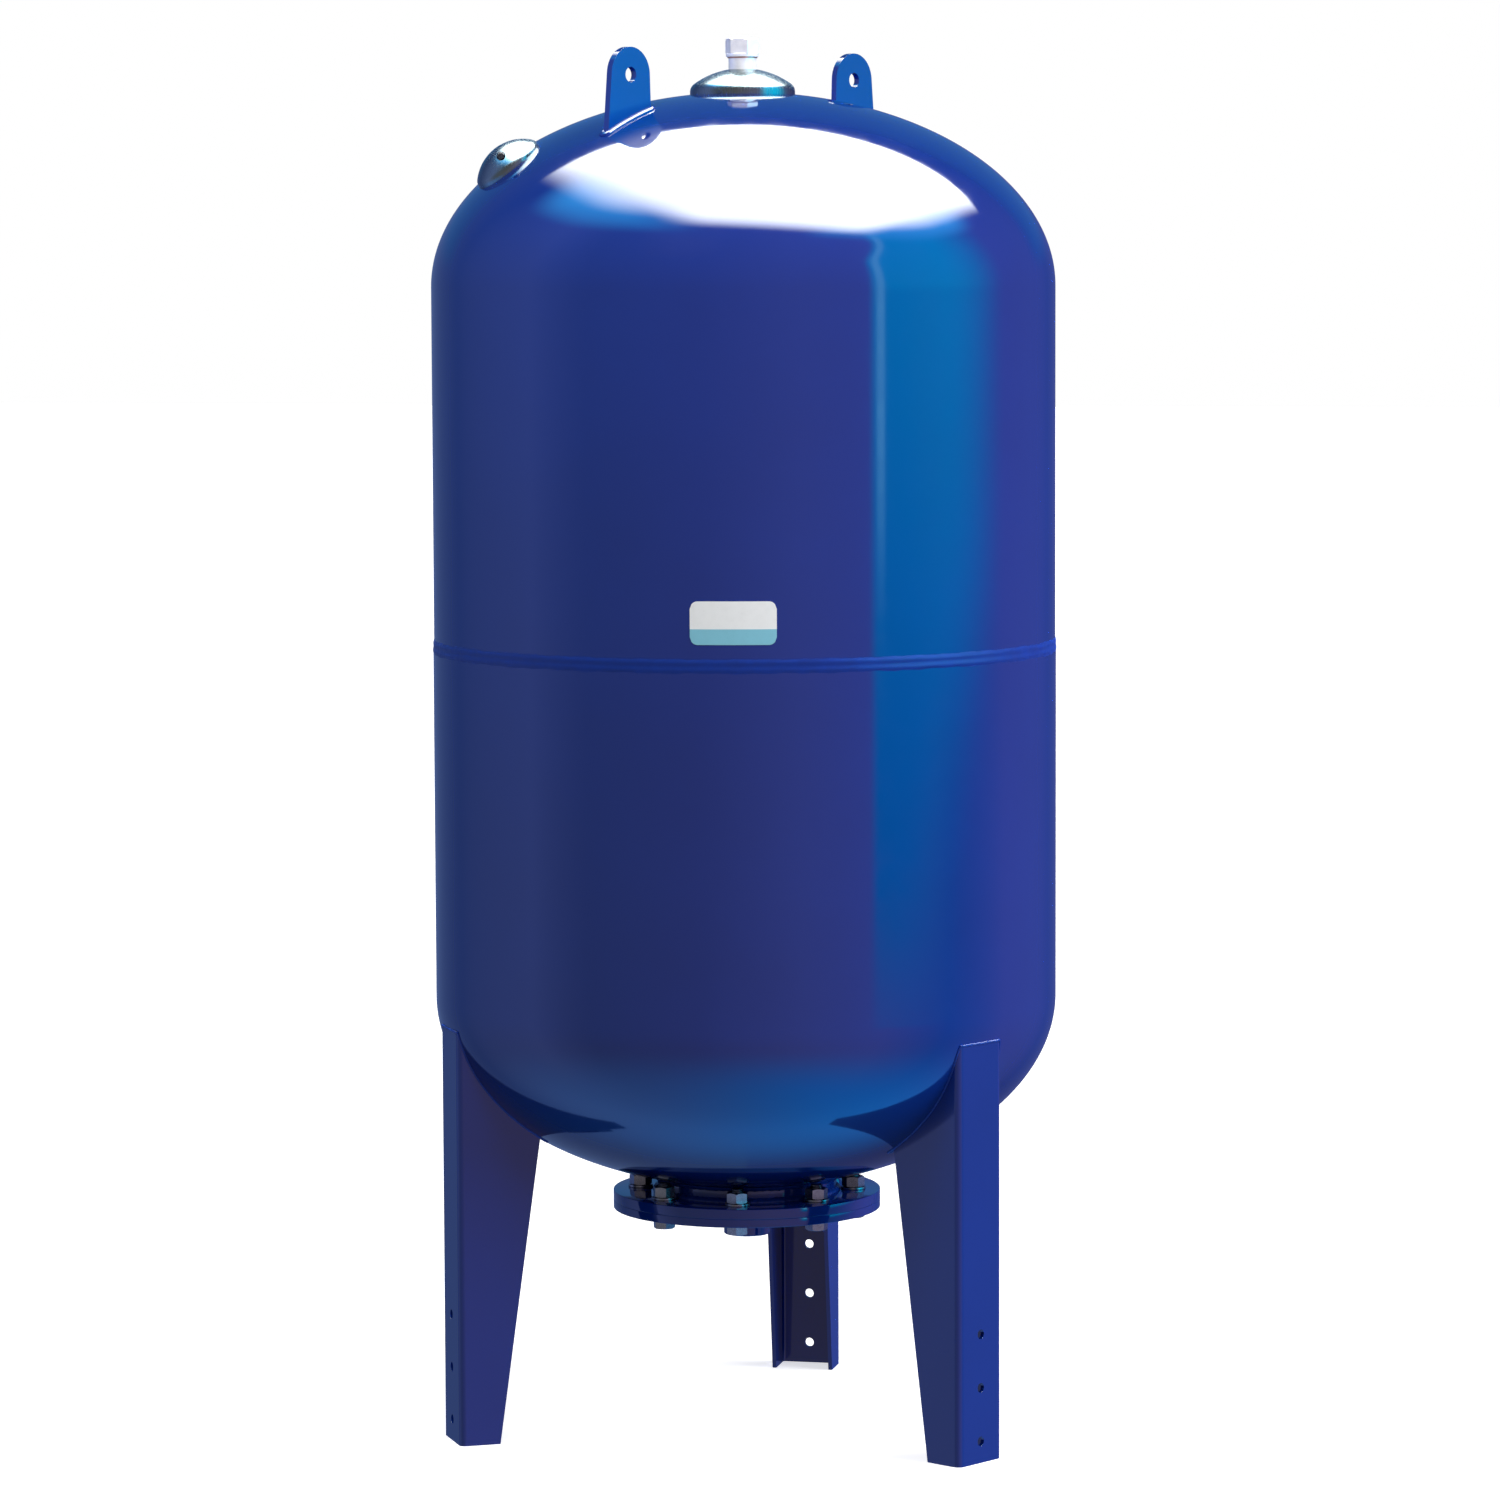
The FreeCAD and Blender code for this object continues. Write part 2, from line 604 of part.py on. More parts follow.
def bladder_top_disc(space):
    """Disc that presses the bladder onto the nipple's collar."""
    top = BLADDER_TOP_Z + DISC_THICKNESS
    return tube(DISC_RADIUS, NIPPLE_RADIUS, BLADDER_TOP_Z - BLADDER_WALL, top).cut(space)


def round_nut(across_flats, low, high):
    """Hexagon nut on the nipple."""
    return hexagon(across_flats, low, high).cut(cylinder(NIPPLE_RADIUS, low - 1, high + 1))


def top_boss(vessel):
    """Welded boss under the tie nut."""
    return tube(TOP_BOSS_RADIUS, NIPPLE_RADIUS + FIT_GAP, VESSEL_TOP_Z - 2 * WALL, TOP_BOSS_Z).cut(vessel)


def top_cover(vessel):
    """Dished cover over the tie nut, resting on the head."""
    base = UPPER_TANGENT_Z + head_z(TOP_COVER_RADIUS)
    cover = dished_cover(TOP_COVER_RADIUS, TOP_COVER_Z - base, TOP_COVER_CROWN, TOP_COVER_KNUCKLE,
                         TOP_COVER_WALL, NIPPLE_RADIUS, TOP_COVER_SKIRT)
    cover.translate(Vector(0, 0, base))
    return cover.cut(vessel)


def top_plug_washer():
    """Sealing washer under the plug's collar, carried by the plug's shank."""
    high = NIPPLE_TOP_Z + PLUG_WASHER_THICKNESS
    return tube(PLUG_WASHER_RADIUS, PLUG_RADIUS + WASHER_GAP, NIPPLE_TOP_Z, high)


def tie_gasket():
    """Gasket between the boss and the tie nut."""
    return tube(GASKET_RADIUS, NIPPLE_RADIUS, TOP_BOSS_Z, TOP_BOSS_Z + GASKET_THICKNESS)


def top_plug():
    """Hexagon plug, its thread stood in for by a plain shank that runs in the nipple."""
    washer_top = NIPPLE_TOP_Z + PLUG_WASHER_THICKNESS
    collar_top = washer_top + PLUG_COLLAR_THICKNESS
    collar = cylinder(PLUG_COLLAR_RADIUS, washer_top, collar_top)
    head = hexagon(PLUG_ACROSS_FLATS, collar_top, PLUG_TOP_Z, False, True)
    shank = cylinder(PLUG_RADIUS, NIPPLE_TOP_Z - PLUG_SHANK, washer_top)
    recess = cylinder(PLUG_RECESS_RADIUS, PLUG_TOP_Z - PLUG_RECESS_DEPTH, PLUG_TOP_Z + 1)
    return head.fuse(collar).fuse(shank).cut(recess).removeSplitter()


# Air valve

def valve_frame():
    """Placement of the valve boss: origin on the head, +Z along its normal, +X the way the stem leans."""
    slope = HEAD_HEIGHT ** 2 * VALVE_RADIAL / (VESSEL_RADIUS ** 2 * head_z(VALVE_RADIAL))
    tilt = math.atan(slope)
    azimuth = math.radians(VALVE_AZIMUTH)
    side = math.radians(VALVE_LEAN_SIDE)
    outwards = Vector(math.sin(azimuth), -math.cos(azimuth), 0)
    level = Vector(math.cos(azimuth), math.sin(azimuth), 0)
    normal = outwards * math.sin(tilt) + AXIS_Z * math.cos(tilt)
    downhill = outwards * math.cos(tilt) - AXIS_Z * math.sin(tilt)
    lean = level * math.cos(side) + downhill * math.sin(side)
    across = normal.cross(lean)
    origin = outwards * VALVE_RADIAL + AXIS_Z * (UPPER_TANGENT_Z + head_z(VALVE_RADIAL))
    return FreeCAD.Matrix(
        lean.x, across.x, normal.x, origin.x,
        lean.y, across.y, normal.y, origin.y,
        lean.z, across.z, normal.z, origin.z,
        0, 0, 0, 1,
    )


def on_valve_boss(shape):
    """Shape moved from the valve boss's own frame into the vessel's."""
    return shape.transformed(valve_frame(), copy=True)


def along_stem(shape):
    """Shape moved from the stem's frame, +Z along the stem, into the boss's frame."""
    copy = shape.copy()
    copy.rotate(ORIGIN, Vector(0, 1, 0), VALVE_LEAN)
    copy.translate(Vector(0, 0, VALVE_ELBOW_Z))
    return copy


def on_stem(shape):
    """Shape moved from the stem's frame into the vessel's."""
    return on_valve_boss(along_stem(shape))


def valve_boss(vessel):
    """Welded pad that holds the valve and the skirt of its cover."""
    pad_radius = VALVE_COVER_RADIUS - VALVE_COVER_WALL
    pad = tube(pad_radius, SHANK_RADIUS, -VALVE_COVER_SKIRT, -VALVE_PAD_DROP)
    pad = pad.fuse(tube(VALVE_SEAT_RADIUS, SHANK_RADIUS, -VALVE_COVER_SKIRT, VALVE_SEAT_TOP))
    return on_valve_boss(pad).cut(vessel)


def valve_cover(vessel):
    """Dished cover of the valve with a side hole for the stem."""
    cover = dished_cover(VALVE_COVER_RADIUS, VALVE_COVER_HEIGHT, VALVE_COVER_CROWN, VALVE_COVER_KNUCKLE,
                         VALVE_COVER_WALL, 0, VALVE_COVER_SKIRT)
    hole = along_stem(cylinder(CAP_RADIUS + 2 * FIT_GAP, 0, 2 * VALVE_COVER_RADIUS))
    return on_valve_boss(cover.cut(hole)).cut(vessel)


def valve_body():
    """Angled valve: shank in the boss, elbow, and threaded stem with the core's guides."""
    shank = cylinder(SHANK_RADIUS, SHANK_BOTTOM, VALVE_SEAL_TOP)
    shoulder = hexagon(SHOULDER_ACROSS_FLATS, VALVE_SEAL_TOP, SHOULDER_TOP)
    elbow = Part.makeSphere(ELBOW_RADIUS, Vector(0, 0, VALVE_ELBOW_Z))
    neck = along_stem(cylinder(SHANK_RADIUS, 0, SEAT_HIGH))
    stem = along_stem(cylinder(STEM_RADIUS, 0, STEM_END))
    body = shank.fuse([shoulder, elbow, neck, stem])
    inlet = cylinder(INLET_RADIUS, SHANK_BOTTOM - 1, VALVE_ELBOW_Z)
    bores = [
        cylinder(CORE_BORE_RADIUS, 0, SEAT_LOW),
        cylinder(SEAT_RADIUS, SEAT_LOW - 1, SEAT_HIGH + 1),
        cylinder(CORE_BORE_RADIUS, SEAT_HIGH, GUIDE_LOW),
        cylinder(PIN_RADIUS + RUNNING_CLEARANCE, GUIDE_LOW - 1, STEM_END + 1),
    ]
    for step in range(VENT_COUNT):
        vent = cylinder(VENT_RADIUS, GUIDE_LOW - 1, STEM_END + 1)
        vent.translate(Vector(VENT_OFFSET, 0, 0))
        vent.rotate(ORIGIN, AXIS_Z, 360.0 / VENT_COUNT * step)
        bores.append(vent)
    body = body.cut(inlet).cut([along_stem(bore) for bore in bores])
    return on_valve_boss(body.removeSplitter())


def valve_body_seal():
    """Sealing ring between the valve's shoulder and its boss."""
    return on_valve_boss(tube(VALVE_SEAL_RADIUS, SHANK_RADIUS, VALVE_SEAT_TOP, VALVE_SEAL_TOP))


def valve_pin():
    """Core pin with its sealing plate and spring shoulder."""
    rod = cylinder(PIN_RADIUS, PIN_BOTTOM, STEM_END + PIN_PROUD)
    plate = cylinder(PIN_PLATE_RADIUS, PIN_PLATE_BOTTOM, PIN_PLATE_BOTTOM + PIN_PLATE_THICKNESS)
    shoulder_top = PIN_SHOULDER_BOTTOM + PIN_SHOULDER_THICKNESS
    shoulder = cylinder(PIN_SHOULDER_RADIUS, PIN_SHOULDER_BOTTOM, shoulder_top)
    return on_stem(rod.fuse(plate).fuse(shoulder).removeSplitter())


def valve_spring():
    """Coil spring round the pin, between the seat wall and the pin's shoulder."""
    low = SEAT_HIGH + SPRING_WIRE_RADIUS + SPRING_END_GAP
    high = PIN_SHOULDER_BOTTOM - SPRING_WIRE_RADIUS - SPRING_END_GAP
    helix = Part.makeHelix((high - low) / SPRING_COILS, high - low, SPRING_RADIUS)
    helix.translate(Vector(0, 0, low))
    start = Vector(SPRING_RADIUS, 0, low)
    section = Part.Wire(Part.makeCircle(SPRING_WIRE_RADIUS, start, Vector(0, 1, 0)))
    coil = Part.Wire(helix).makePipeShell([section], True, True)
    return on_stem(coil)


def valve_cap():
    """Dust cap, its thread stood in for by a plain bore that runs on the stem."""
    start = STEM_END - CAP_SKIRT
    body = cylinder(CAP_RADIUS, start, CAP_END)
    tip = [edge for edge in body.Edges if edge.BoundBox.ZMin > CAP_END - HAIR]
    body = body.makeFillet(CAP_EDGE_RADIUS, tip)
    bore_end = STEM_END + CAP_SEAL_THICKNESS + CAP_SEAL_GAP
    body = body.cut(cylinder(STEM_RADIUS + RUNNING_CLEARANCE, start - 1, bore_end))
    return on_stem(body)


def valve_cap_seal():
    """Rubber disc with a hole in the bottom of the cap."""
    radius = STEM_RADIUS - RUNNING_CLEARANCE
    return on_stem(tube(radius, CAP_SEAL_HOLE_RADIUS, STEM_END, STEM_END + CAP_SEAL_THICKNESS))


# Label

def label_plate():
    """Thin curved plate with rounded corners on the upper shell."""
    low = LABEL_Z - LABEL_HEIGHT
    high = LABEL_Z + LABEL_HEIGHT
    band = tube(VESSEL_RADIUS + LABEL_THICKNESS, VESSEL_RADIUS, low, high)
    corner = Vector(VESSEL_RADIUS - LABEL_HEIGHT, -LABEL_WIDTH / 2, LABEL_Z - LABEL_HEIGHT / 2)
    block = Part.makeBox(2 * LABEL_HEIGHT, LABEL_WIDTH, LABEL_HEIGHT, corner)
    long_edges = [edge for edge in block.Edges if edge.BoundBox.XLength > 1]
    block = block.makeFillet(LABEL_CORNER, long_edges)
    return turned(band.common(block), LABEL_AZIMUTH)


def build():
    """All sub-parts by node name."""
    upper_space = capsule(VESSEL_RADIUS, HEAD_HEIGHT)
    lower_space = capsule(LOWER_RADIUS, HEAD_HEIGHT)
    parts = {}
    parts["upper_shell"] = upper_shell()
    parts["lower_shell"] = lower_shell()
    parts["girth_weld"] = girth_weld(parts["upper_shell"], parts["lower_shell"])

    parts["neck_collar"] = neck_collar()
    parts["neck_flange_ring"] = neck_flange_ring()
    parts["neck_welds"] = neck_welds()
    parts["counterflange"] = counterflange()
    parts["water_connection"] = water_connection()
    parts["socket_weld"] = socket_weld()
    parts["flange_bolts"] = flange_bolts()
    parts["flange_nuts"] = flange_nuts()
    parts["flange_washers"] = flange_washers()

    channel = leg_blank(0)
    cut_leg = leg(channel, lower_space)
    for name, azimuth in LEG_AZIMUTHS.items():
        parts[name] = turned(cut_leg, azimuth)
    bead = leg_weld(channel, lower_space)
    beads = [turned(bead, azimuth) for azimuth in LEG_AZIMUTHS.values()]
    parts["leg_welds"] = Part.makeCompound([solid for shape in beads for solid in shape.Solids])

    plate = lug_blank(0)
    cut_lug = lifting_lug(plate, upper_space)
    for name, azimuth in LUG_AZIMUTHS.items():
        parts[name] = turned(cut_lug, azimuth)
    bead = lug_weld(plate, upper_space)
    beads = [turned(bead, azimuth) for azimuth in LUG_AZIMUTHS.values()]
    parts["lug_welds"] = Part.makeCompound([solid for shape in beads for solid in shape.Solids])

    space = bladder_space(0)
    parts["bladder"] = bladder(space)
    parts["bladder_top_disc"] = bladder_top_disc(space)
    disc_top = BLADDER_TOP_Z + DISC_THICKNESS
    parts["bladder_disc_nut"] = round_nut(DISC_NUT_ACROSS_FLATS, disc_top, disc_top + DISC_NUT_HEIGHT)
    parts["tie_nipple"] = tie_nipple()
    parts["top_boss"] = top_boss(upper_space)
    parts["tie_gasket"] = tie_gasket()
    gasket_top = TOP_BOSS_Z + GASKET_THICKNESS
    parts["tie_nut"] = round_nut(TIE_NUT_ACROSS_FLATS, gasket_top, gasket_top + TIE_NUT_HEIGHT)
    parts["top_cover"] = top_cover(upper_space)
    parts["top_plug_washer"] = top_plug_washer()
    parts["top_plug"] = top_plug()

    parts["valve_boss"] = valve_boss(upper_space)
    parts["valve_cover"] = valve_cover(upper_space)
    parts["valve_body"] = valve_body()
    parts["valve_body_seal"] = valve_body_seal()
    parts["valve_pin"] = valve_pin()
    parts["valve_spring"] = valve_spring()
    parts["valve_cap"] = valve_cap()
    parts["valve_cap_seal"] = valve_cap_seal()

    parts["label_plate"] = label_plate()
    return parts


def main():
    os.makedirs("parts", exist_ok=True)
    for name, shape in build().items():
        box = shape.BoundBox
        print("%-18s %2d solids  %10.1f mm3  valid %s  z %.1f to %.1f" % (
            name, len(shape.Solids), shape.Volume, shape.isValid(), box.ZMin, box.ZMax))
        shape.exportStep("parts/%s.step" % name)


main()
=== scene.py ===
"""Looks of the expansion vessel: rounded and turned pieces, materials, studio and camera.

Everything is in metres in the row's frame: the origin is on the floor under the vessel's axis and
+Z is up. An azimuth is measured from -Y, positive towards +X.
"""

import json
import math

import bmesh
import bpy
from mathutils import Matrix, Vector

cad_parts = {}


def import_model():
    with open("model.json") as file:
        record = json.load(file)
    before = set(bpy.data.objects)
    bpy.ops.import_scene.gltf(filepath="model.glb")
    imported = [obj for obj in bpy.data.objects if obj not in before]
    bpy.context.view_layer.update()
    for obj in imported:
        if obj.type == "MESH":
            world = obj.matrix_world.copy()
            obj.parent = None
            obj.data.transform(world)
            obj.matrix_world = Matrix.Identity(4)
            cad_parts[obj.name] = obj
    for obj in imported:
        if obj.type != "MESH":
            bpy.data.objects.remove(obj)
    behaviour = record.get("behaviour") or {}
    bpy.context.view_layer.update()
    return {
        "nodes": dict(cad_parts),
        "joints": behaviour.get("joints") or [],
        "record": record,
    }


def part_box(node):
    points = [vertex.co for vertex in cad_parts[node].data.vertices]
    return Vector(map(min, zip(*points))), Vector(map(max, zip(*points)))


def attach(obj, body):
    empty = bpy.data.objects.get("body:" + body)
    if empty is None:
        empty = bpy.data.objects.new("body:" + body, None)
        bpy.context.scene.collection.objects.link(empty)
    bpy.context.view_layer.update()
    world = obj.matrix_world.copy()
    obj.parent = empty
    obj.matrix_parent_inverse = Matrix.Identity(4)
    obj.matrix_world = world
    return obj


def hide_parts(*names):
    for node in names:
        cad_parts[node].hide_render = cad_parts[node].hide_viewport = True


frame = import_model()

MM = 0.001
TURN = 2 * math.pi
TURNED_CORNERS = 0.955  # radius of a hexagon's turned end, as a share of half its width
THREAD_END = 1.2 * MM  # length of a thread's bevelled end
SHARP = 35  # degrees between faces from which an edge stays sharp

# Sizes that the CAD boxes don't hold

# Shells and girth weld
WALL = 3.0 * MM
HEAD_HEIGHT = 232.0 * MM
LOWER_TANGENT = 528.0 * MM
LAP_TONGUE = 22.0 * MM
LAP_GAP = 0.05 * MM
JOGGLE = (2.0 * MM, 8.0 * MM)  # the upper shell widens between these heights over the seam
LOWER_EDGE = 2.0 * MM  # from the seam down to the lower shell's edge
SHEET_CHAMFER = 0.6 * MM
TOP_HOLE = 17.0 * MM
END_RINGS = (4.0 * MM, 0.5 * MM)  # rings that keep a cylinder's shading level, from its end
BEAD_HEIGHT = 0.5 * MM  # girth bead: height of its two ridges, and of the fill under both
BEAD_FILL = 0.5 * MM
BEAD_ROOT = 1.0 * MM  # how deep a bead's profile reaches into the parts it joins
SHELL_SEGMENTS = 320
BEAD_SEGMENTS = 480

# Neck, flanges and water socket
NECK_WALL = 6.3 * MM
NECK_STAND = 12.0 * MM  # the neck's end inside the lower head
NECK_BEAD = 5.0 * MM
FILLET_POWER = 1.3  # above 1 the bead's face is hollow
FLANGE_EDGE = 0.7 * MM
SEATED = 0.2 * MM  # overlap of turned pieces that are welded together
SOCKET_BORE = 22.4 * MM
SOCKET_PITCH = 2.309 * MM
SOCKET_DEPTH = 1.4 * MM
SOCKET_EDGE = 1.0 * MM
SOCKET_MOUTH = (1.6 * MM, 1.5 * MM, 2.0 * MM)  # width at the face, width of the bevel, its depth
SOCKET_BEAD = 5.0 * MM

# Flange bolts, nuts and washers
ACROSS_FLATS = 24.0 * MM
NUT_BORE = 8.0 * MM
NUT_BEVEL = 1.0 * MM
BOLT_HEAD = 10.0 * MM
BOLT_SHANK = 7.9 * MM
SHANK_LAP = 1.0 * MM
BOLT_THREAD = 14.0 * MM
THREAD_PITCH = 2.0 * MM
THREAD_DEPTH = 1.2 * MM
WASHER = (8.4 * MM, 15.0 * MM)
WASHER_EDGE = 0.5 * MM

# Legs and lugs
LEG_AZIMUTHS = (math.pi, -math.pi / 3, math.pi / 3)
LEG_PLATE = 5.0 * MM
LEG_BEND = 8.0 * MM
LEG_EDGE = 0.7 * MM
LEG_INNER = 262.0 * MM  # where a leg's flange edges meet the head, from the vessel's axis
LEG_BEAD = 1.5 * MM
LUG_AZIMUTHS = (math.radians(-30), math.radians(150))
LUG_FOOT = (162.0 * MM, 238.0 * MM)
LUG_HALF = 4.0 * MM
LUG_EDGE = 0.8 * MM
LUG_BEAD = 3.8 * MM

# Top cover, nipple and plug
TOP_COVER = {"crown": 100.0 * MM, "knuckle": 12.0 * MM, "wall": 1.5 * MM, "skirt": 4.0 * MM}
TOP_COVER_POLE = 1.39 * MM  # the crown's pole over the edge of its hole
NIPPLE_BORE = 13.25 * MM
NIPPLE_RADIUS = 16.6 * MM
NIPPLE_EDGE = 0.8 * MM
NIPPLE_LOW = 5.0 * MM  # the stub's lower end over the cover's foot
PLUG_WASHER = (13.3 * MM, 18.0 * MM)
PLUG_WASHER_EDGE = 0.4 * MM
PLUG_ACROSS = 36.0 * MM
PLUG_COLLAR = (19.5 * MM, 4.0 * MM)  # radius and height of the collar under the hexagon
PLUG_COLLAR_EDGE = 0.6 * MM
PLUG_HOLE = (8.0 * MM, 1.0 * MM, 2.0 * MM)  # radius, bevel and depth of the recess in its end
PLUG_THREAD = (13.2 * MM, 1.1 * MM, 1.814 * MM)  # radius, depth and pitch
PLUG_LAP = 0.5 * MM  # the hexagon reaches this far into the collar
THREAD_LAP = 0.2 * MM

# Air valve and its dust cap
VALVE_AZIMUTH = math.radians(-60)
VALVE_RADIAL = 292.0 * MM
VALVE_COVER = {"crown": 55.0 * MM, "knuckle": 10.0 * MM, "wall": 1.2 * MM, "skirt": 6.0 * MM}
VALVE_COVER_SIZE = (43.0 * MM, 24.0 * MM)  # radius and height
STEM_HOLE_GAP = 0.8 * MM
STEM_HOLE_REACH = (-8.0 * MM, 40.0 * MM)
CAP_RADIUS = 4.6 * MM
CAP_BORE = 3.9 * MM
CAP_BORE_DEPTH = 5.3 * MM
CAP_FLAT = 3.0 * MM
CAP_RIBS = 18
CAP_RIB_DEPTH = 0.16 * MM

# Label
LABEL_AZIMUTH = math.radians(10.5)
LABEL_WIDTH = 100.0 * MM
LABEL_CORNER = 9.0 * MM
LABEL_THICKNESS = 0.55 * MM
LABEL_END = 0.2 * MM  # half of the straight part at a label's end
LABEL_BAND = 0.36  # share of the label's height that the lower band takes
LABEL_COLUMNS = 48

# Camera
VIEW_AZIMUTH = math.radians(12.5)
CAMERA_DISTANCE = 6.922
CAMERA_HEIGHT = 1.449
CAMERA_PITCH = math.radians(5.163)
CAMERA_YAW = math.radians(0.069)
CAMERA_ROLL = math.radians(0.22)
CAMERA_LENS = 137.7

# Studio; azimuths are counted from the camera's side, in degrees
AMBIENT = 0.29
SIDE_LIGHT = 4.3
FRONT_LIGHT = 15.0
FLOOR_LIFT = 0.66
ROOM = (
    (-180, (0.10, 0.16, 0.34)),
    (-130, (0.11, 0.18, 0.50)),
    (-85, (0.48, 0.60, 1.25)),
    (-60, (0.34, 0.38, 0.50)),
    (-15, (0.44, 0.38, 0.40)),
    (20, (0.62, 0.52, 0.75)),
    (50, (0.62, 0.52, 0.95)),
    (80, (0.15, 0.36, 0.90)),
    (110, (0.38, 0.32, 0.75)),
    (150, (0.08, 0.10, 0.30)),
)
ROOM_BEHIND = (0.07, 0.21, 0.50)
BEHIND = (0.68, 0.84)
PANEL_NEAR = (45.5, 50.0)
PANEL_FAR = (112.0, 78.0)
PANEL_TAPER = (-0.05, -0.125)  # the far edge moves in between these heights, by this angle
PANEL_TAPER_ANGLE = 24.0
PANEL_LEAN = (0.34, 0.62)  # the near edge moves out between these heights, by this angle
PANEL_LEAN_ANGLE = 8.0
PANEL_FOOT = (-0.145, -0.115)
PANEL_RISE = (-0.13, 0.04)
PANEL_LOW = (0.0, 1.1, 2.4)
PANEL_HIGH = (0.0, 3.0, 4.8)
RIM_NEAR = (48.6, 50.0)
RIM_FAR = (53.2, 51.6)
RIM_FOOT = (-0.07, -0.03)
RIM_COLOUR = (1.0, 4.2, 6.0)
GLOW_DOWN = (-0.34, -0.95)
GLOW_FRONT = (0.80, 0.05)
GLOW_LEFT = (0.35, 0.85, 2.2)
GLOW_RIGHT = (0.10, 1.35, 4.2)
SOFTBOX = (26.0, 27.0, 27.5)
SOFTBOX_CENTRE = (0.27, 0.12)
SOFTBOX_HALF = (1.16, 0.86)
SOFTBOX_BACK = (0.84, 0.78)
SOFTBOX_EDGE = (1.15, 0.50)
SOFTBOX_END = (0.45, 0.80)
SOFTBOX_END_EDGE = (0.84, 0.08)
SOFTBOX_HAZE = (0.5, 4.2, 8.5)
HAZE_EDGE = (1.6, 0.55)
HAZE_LEFT = (-0.45, -0.95)
HAZE_RIGHT = (0.10, 0.40)


# Frame helpers

def direction(azimuth):
    """Level unit vector at an azimuth."""
    return Vector((math.sin(azimuth), -math.cos(azimuth), 0))


def from_axis(azimuth, u, v, height):
    """Point at a height, u away from the vessel's axis at an azimuth and v across that direction."""
    out = direction(azimuth)
    return out * u + Vector((-out.y, out.x, 0)) * v + Vector((0, 0, height))


def span(node):
    """Lowest and highest point of a CAD node."""
    low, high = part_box(node)
    return low.z, high.z


def radius_of(node):
    """Largest distance of a turned node from the vessel's axis."""
    return max(math.hypot(v.co.x, v.co.y) for v in frame["nodes"][node].data.vertices)


def node_mesh(node):
    """The CAD node's mesh as an editable copy with its split corners joined again."""
    mesh = bmesh.new()
    mesh.from_mesh(frame["nodes"][node].data)
    bmesh.ops.remove_doubles(mesh, verts=mesh.verts, dist=1e-6)
    return mesh


def solids_of(node):
    """(lowest corner, highest corner) of each separate solid of a CAD node, in the mesh's order."""
    mesh = node_mesh(node)
    seen = set()
    boxes = []
    for start in mesh.verts:
        group = [] if start in seen else [start]
        seen.add(start)
        for vert in group:
            near = [edge.other_vert(vert) for edge in vert.link_edges]
            group += [other for other in near if other not in seen]
            seen.update(near)
        if group:
            low = Vector([min(v.co[i] for v in group) for i in range(3)])
            high = Vector([max(v.co[i] for v in group) for i in range(3)])
            boxes.append((low, high))
    mesh.free()
    return boxes


def head_rise(distance, radius):
    """Height of an elliptic head above its tangent line, at a distance from the axis."""
    return HEAD_HEIGHT * math.sqrt(max(0.0, 1 - (distance / radius) ** 2))


UPPER_RADIUS = radius_of("upper_shell")
LOWER_RADIUS = radius_of("lower_shell")
UPPER_TANGENT = span("upper_shell")[1] - HEAD_HEIGHT
SEAM = sum(span("girth_weld")) / 2
NECK_RADIUS = radius_of("neck_collar")
NECK_TOP = LOWER_TANGENT - head_rise(NECK_RADIUS, LOWER_RADIUS)
FLANGE_RADIUS = radius_of("neck_flange_ring")
RING_LOW, RING_TOP = span("neck_flange_ring")
COUNTERFLANGE_LOW = span("counterflange")[0]


# Mesh helpers

def new_object(name, mesh, sharp=SHARP):
    """Object from an editable mesh, shaded smooth except over sharp edges."""
    bmesh.ops.recalc_face_normals(mesh, faces=mesh.faces)
    data = bpy.data.meshes.new(name)
    mesh.to_mesh(data)
    mesh.free()
    data.shade_smooth()
    data.set_sharp_from_angle(angle=math.radians(sharp))
    obj = bpy.data.objects.new(name, data)
    bpy.context.collection.objects.link(obj)
    return obj


def skin(mesh, pairs):
    """Faces between pairs of closed rows; a row on the axis is one point repeated."""
    for low, high in pairs:
        for step in range(len(low)):
            after = (step + 1) % len(low)
            corners = [low[step], low[after], high[after], high[step]]
            corners = [v for i, v in enumerate(corners) if v not in corners[:i]]
            if len(corners) > 2:
                mesh.faces.new(corners)


def add_rings(mesh, rings, segments, closed=True):
    """Skin through rings round the Z axis, each a function of the angle giving (radius, height)."""
    rows = []
    for ring in rings:
        if ring(0.0)[0] < 1e-9:
            rows.append([mesh.verts.new((0, 0, ring(0.0)[1]))] * segments)
            continue
        row = []
        for step in range(segments):
            angle = TURN * step / segments
            radius, height = ring(angle)
            row.append(mesh.verts.new((radius * math.cos(angle), radius * math.sin(angle), height)))
        rows.append(row)
    pairs = list(zip(rows, rows[1:]))
    if closed:
        pairs.append((rows[-1], rows[0]))
    skin(mesh, pairs)


def fixed(points):
    """Rings of constant radius and height from a profile's (r, z) points."""
    return [lambda angle, point=point: point for point in points]


def lathe(name, profile, segments=192):
    """Object turned about the Z axis from a closed profile of (r, z) points."""
    mesh = bmesh.new()
    add_rings(mesh, fixed(profile), segments)
    return new_object(name, mesh)


def rounded(points, radius, steps=3):
    """Closed profile with each corner off the axis replaced by a small arc."""
    result = []
    count = len(points)
    for index, point in enumerate(points):
        here = Vector(point)
        if here.x < 1e-9:
            result.append(point)
            continue
        before = Vector(points[index - 1]) - here
        after = Vector(points[(index + 1) % count]) - here
        reach = min(radius, before.length * 0.45, after.length * 0.45)
        start = here + before.normalized() * reach
        end = here + after.normalized() * reach
        for step in range(steps + 1):
            t = step / steps
            bend = start * (1 - t) ** 2 + here * 2 * t * (1 - t) + end * t ** 2
            result.append((bend.x, bend.y))
    return result


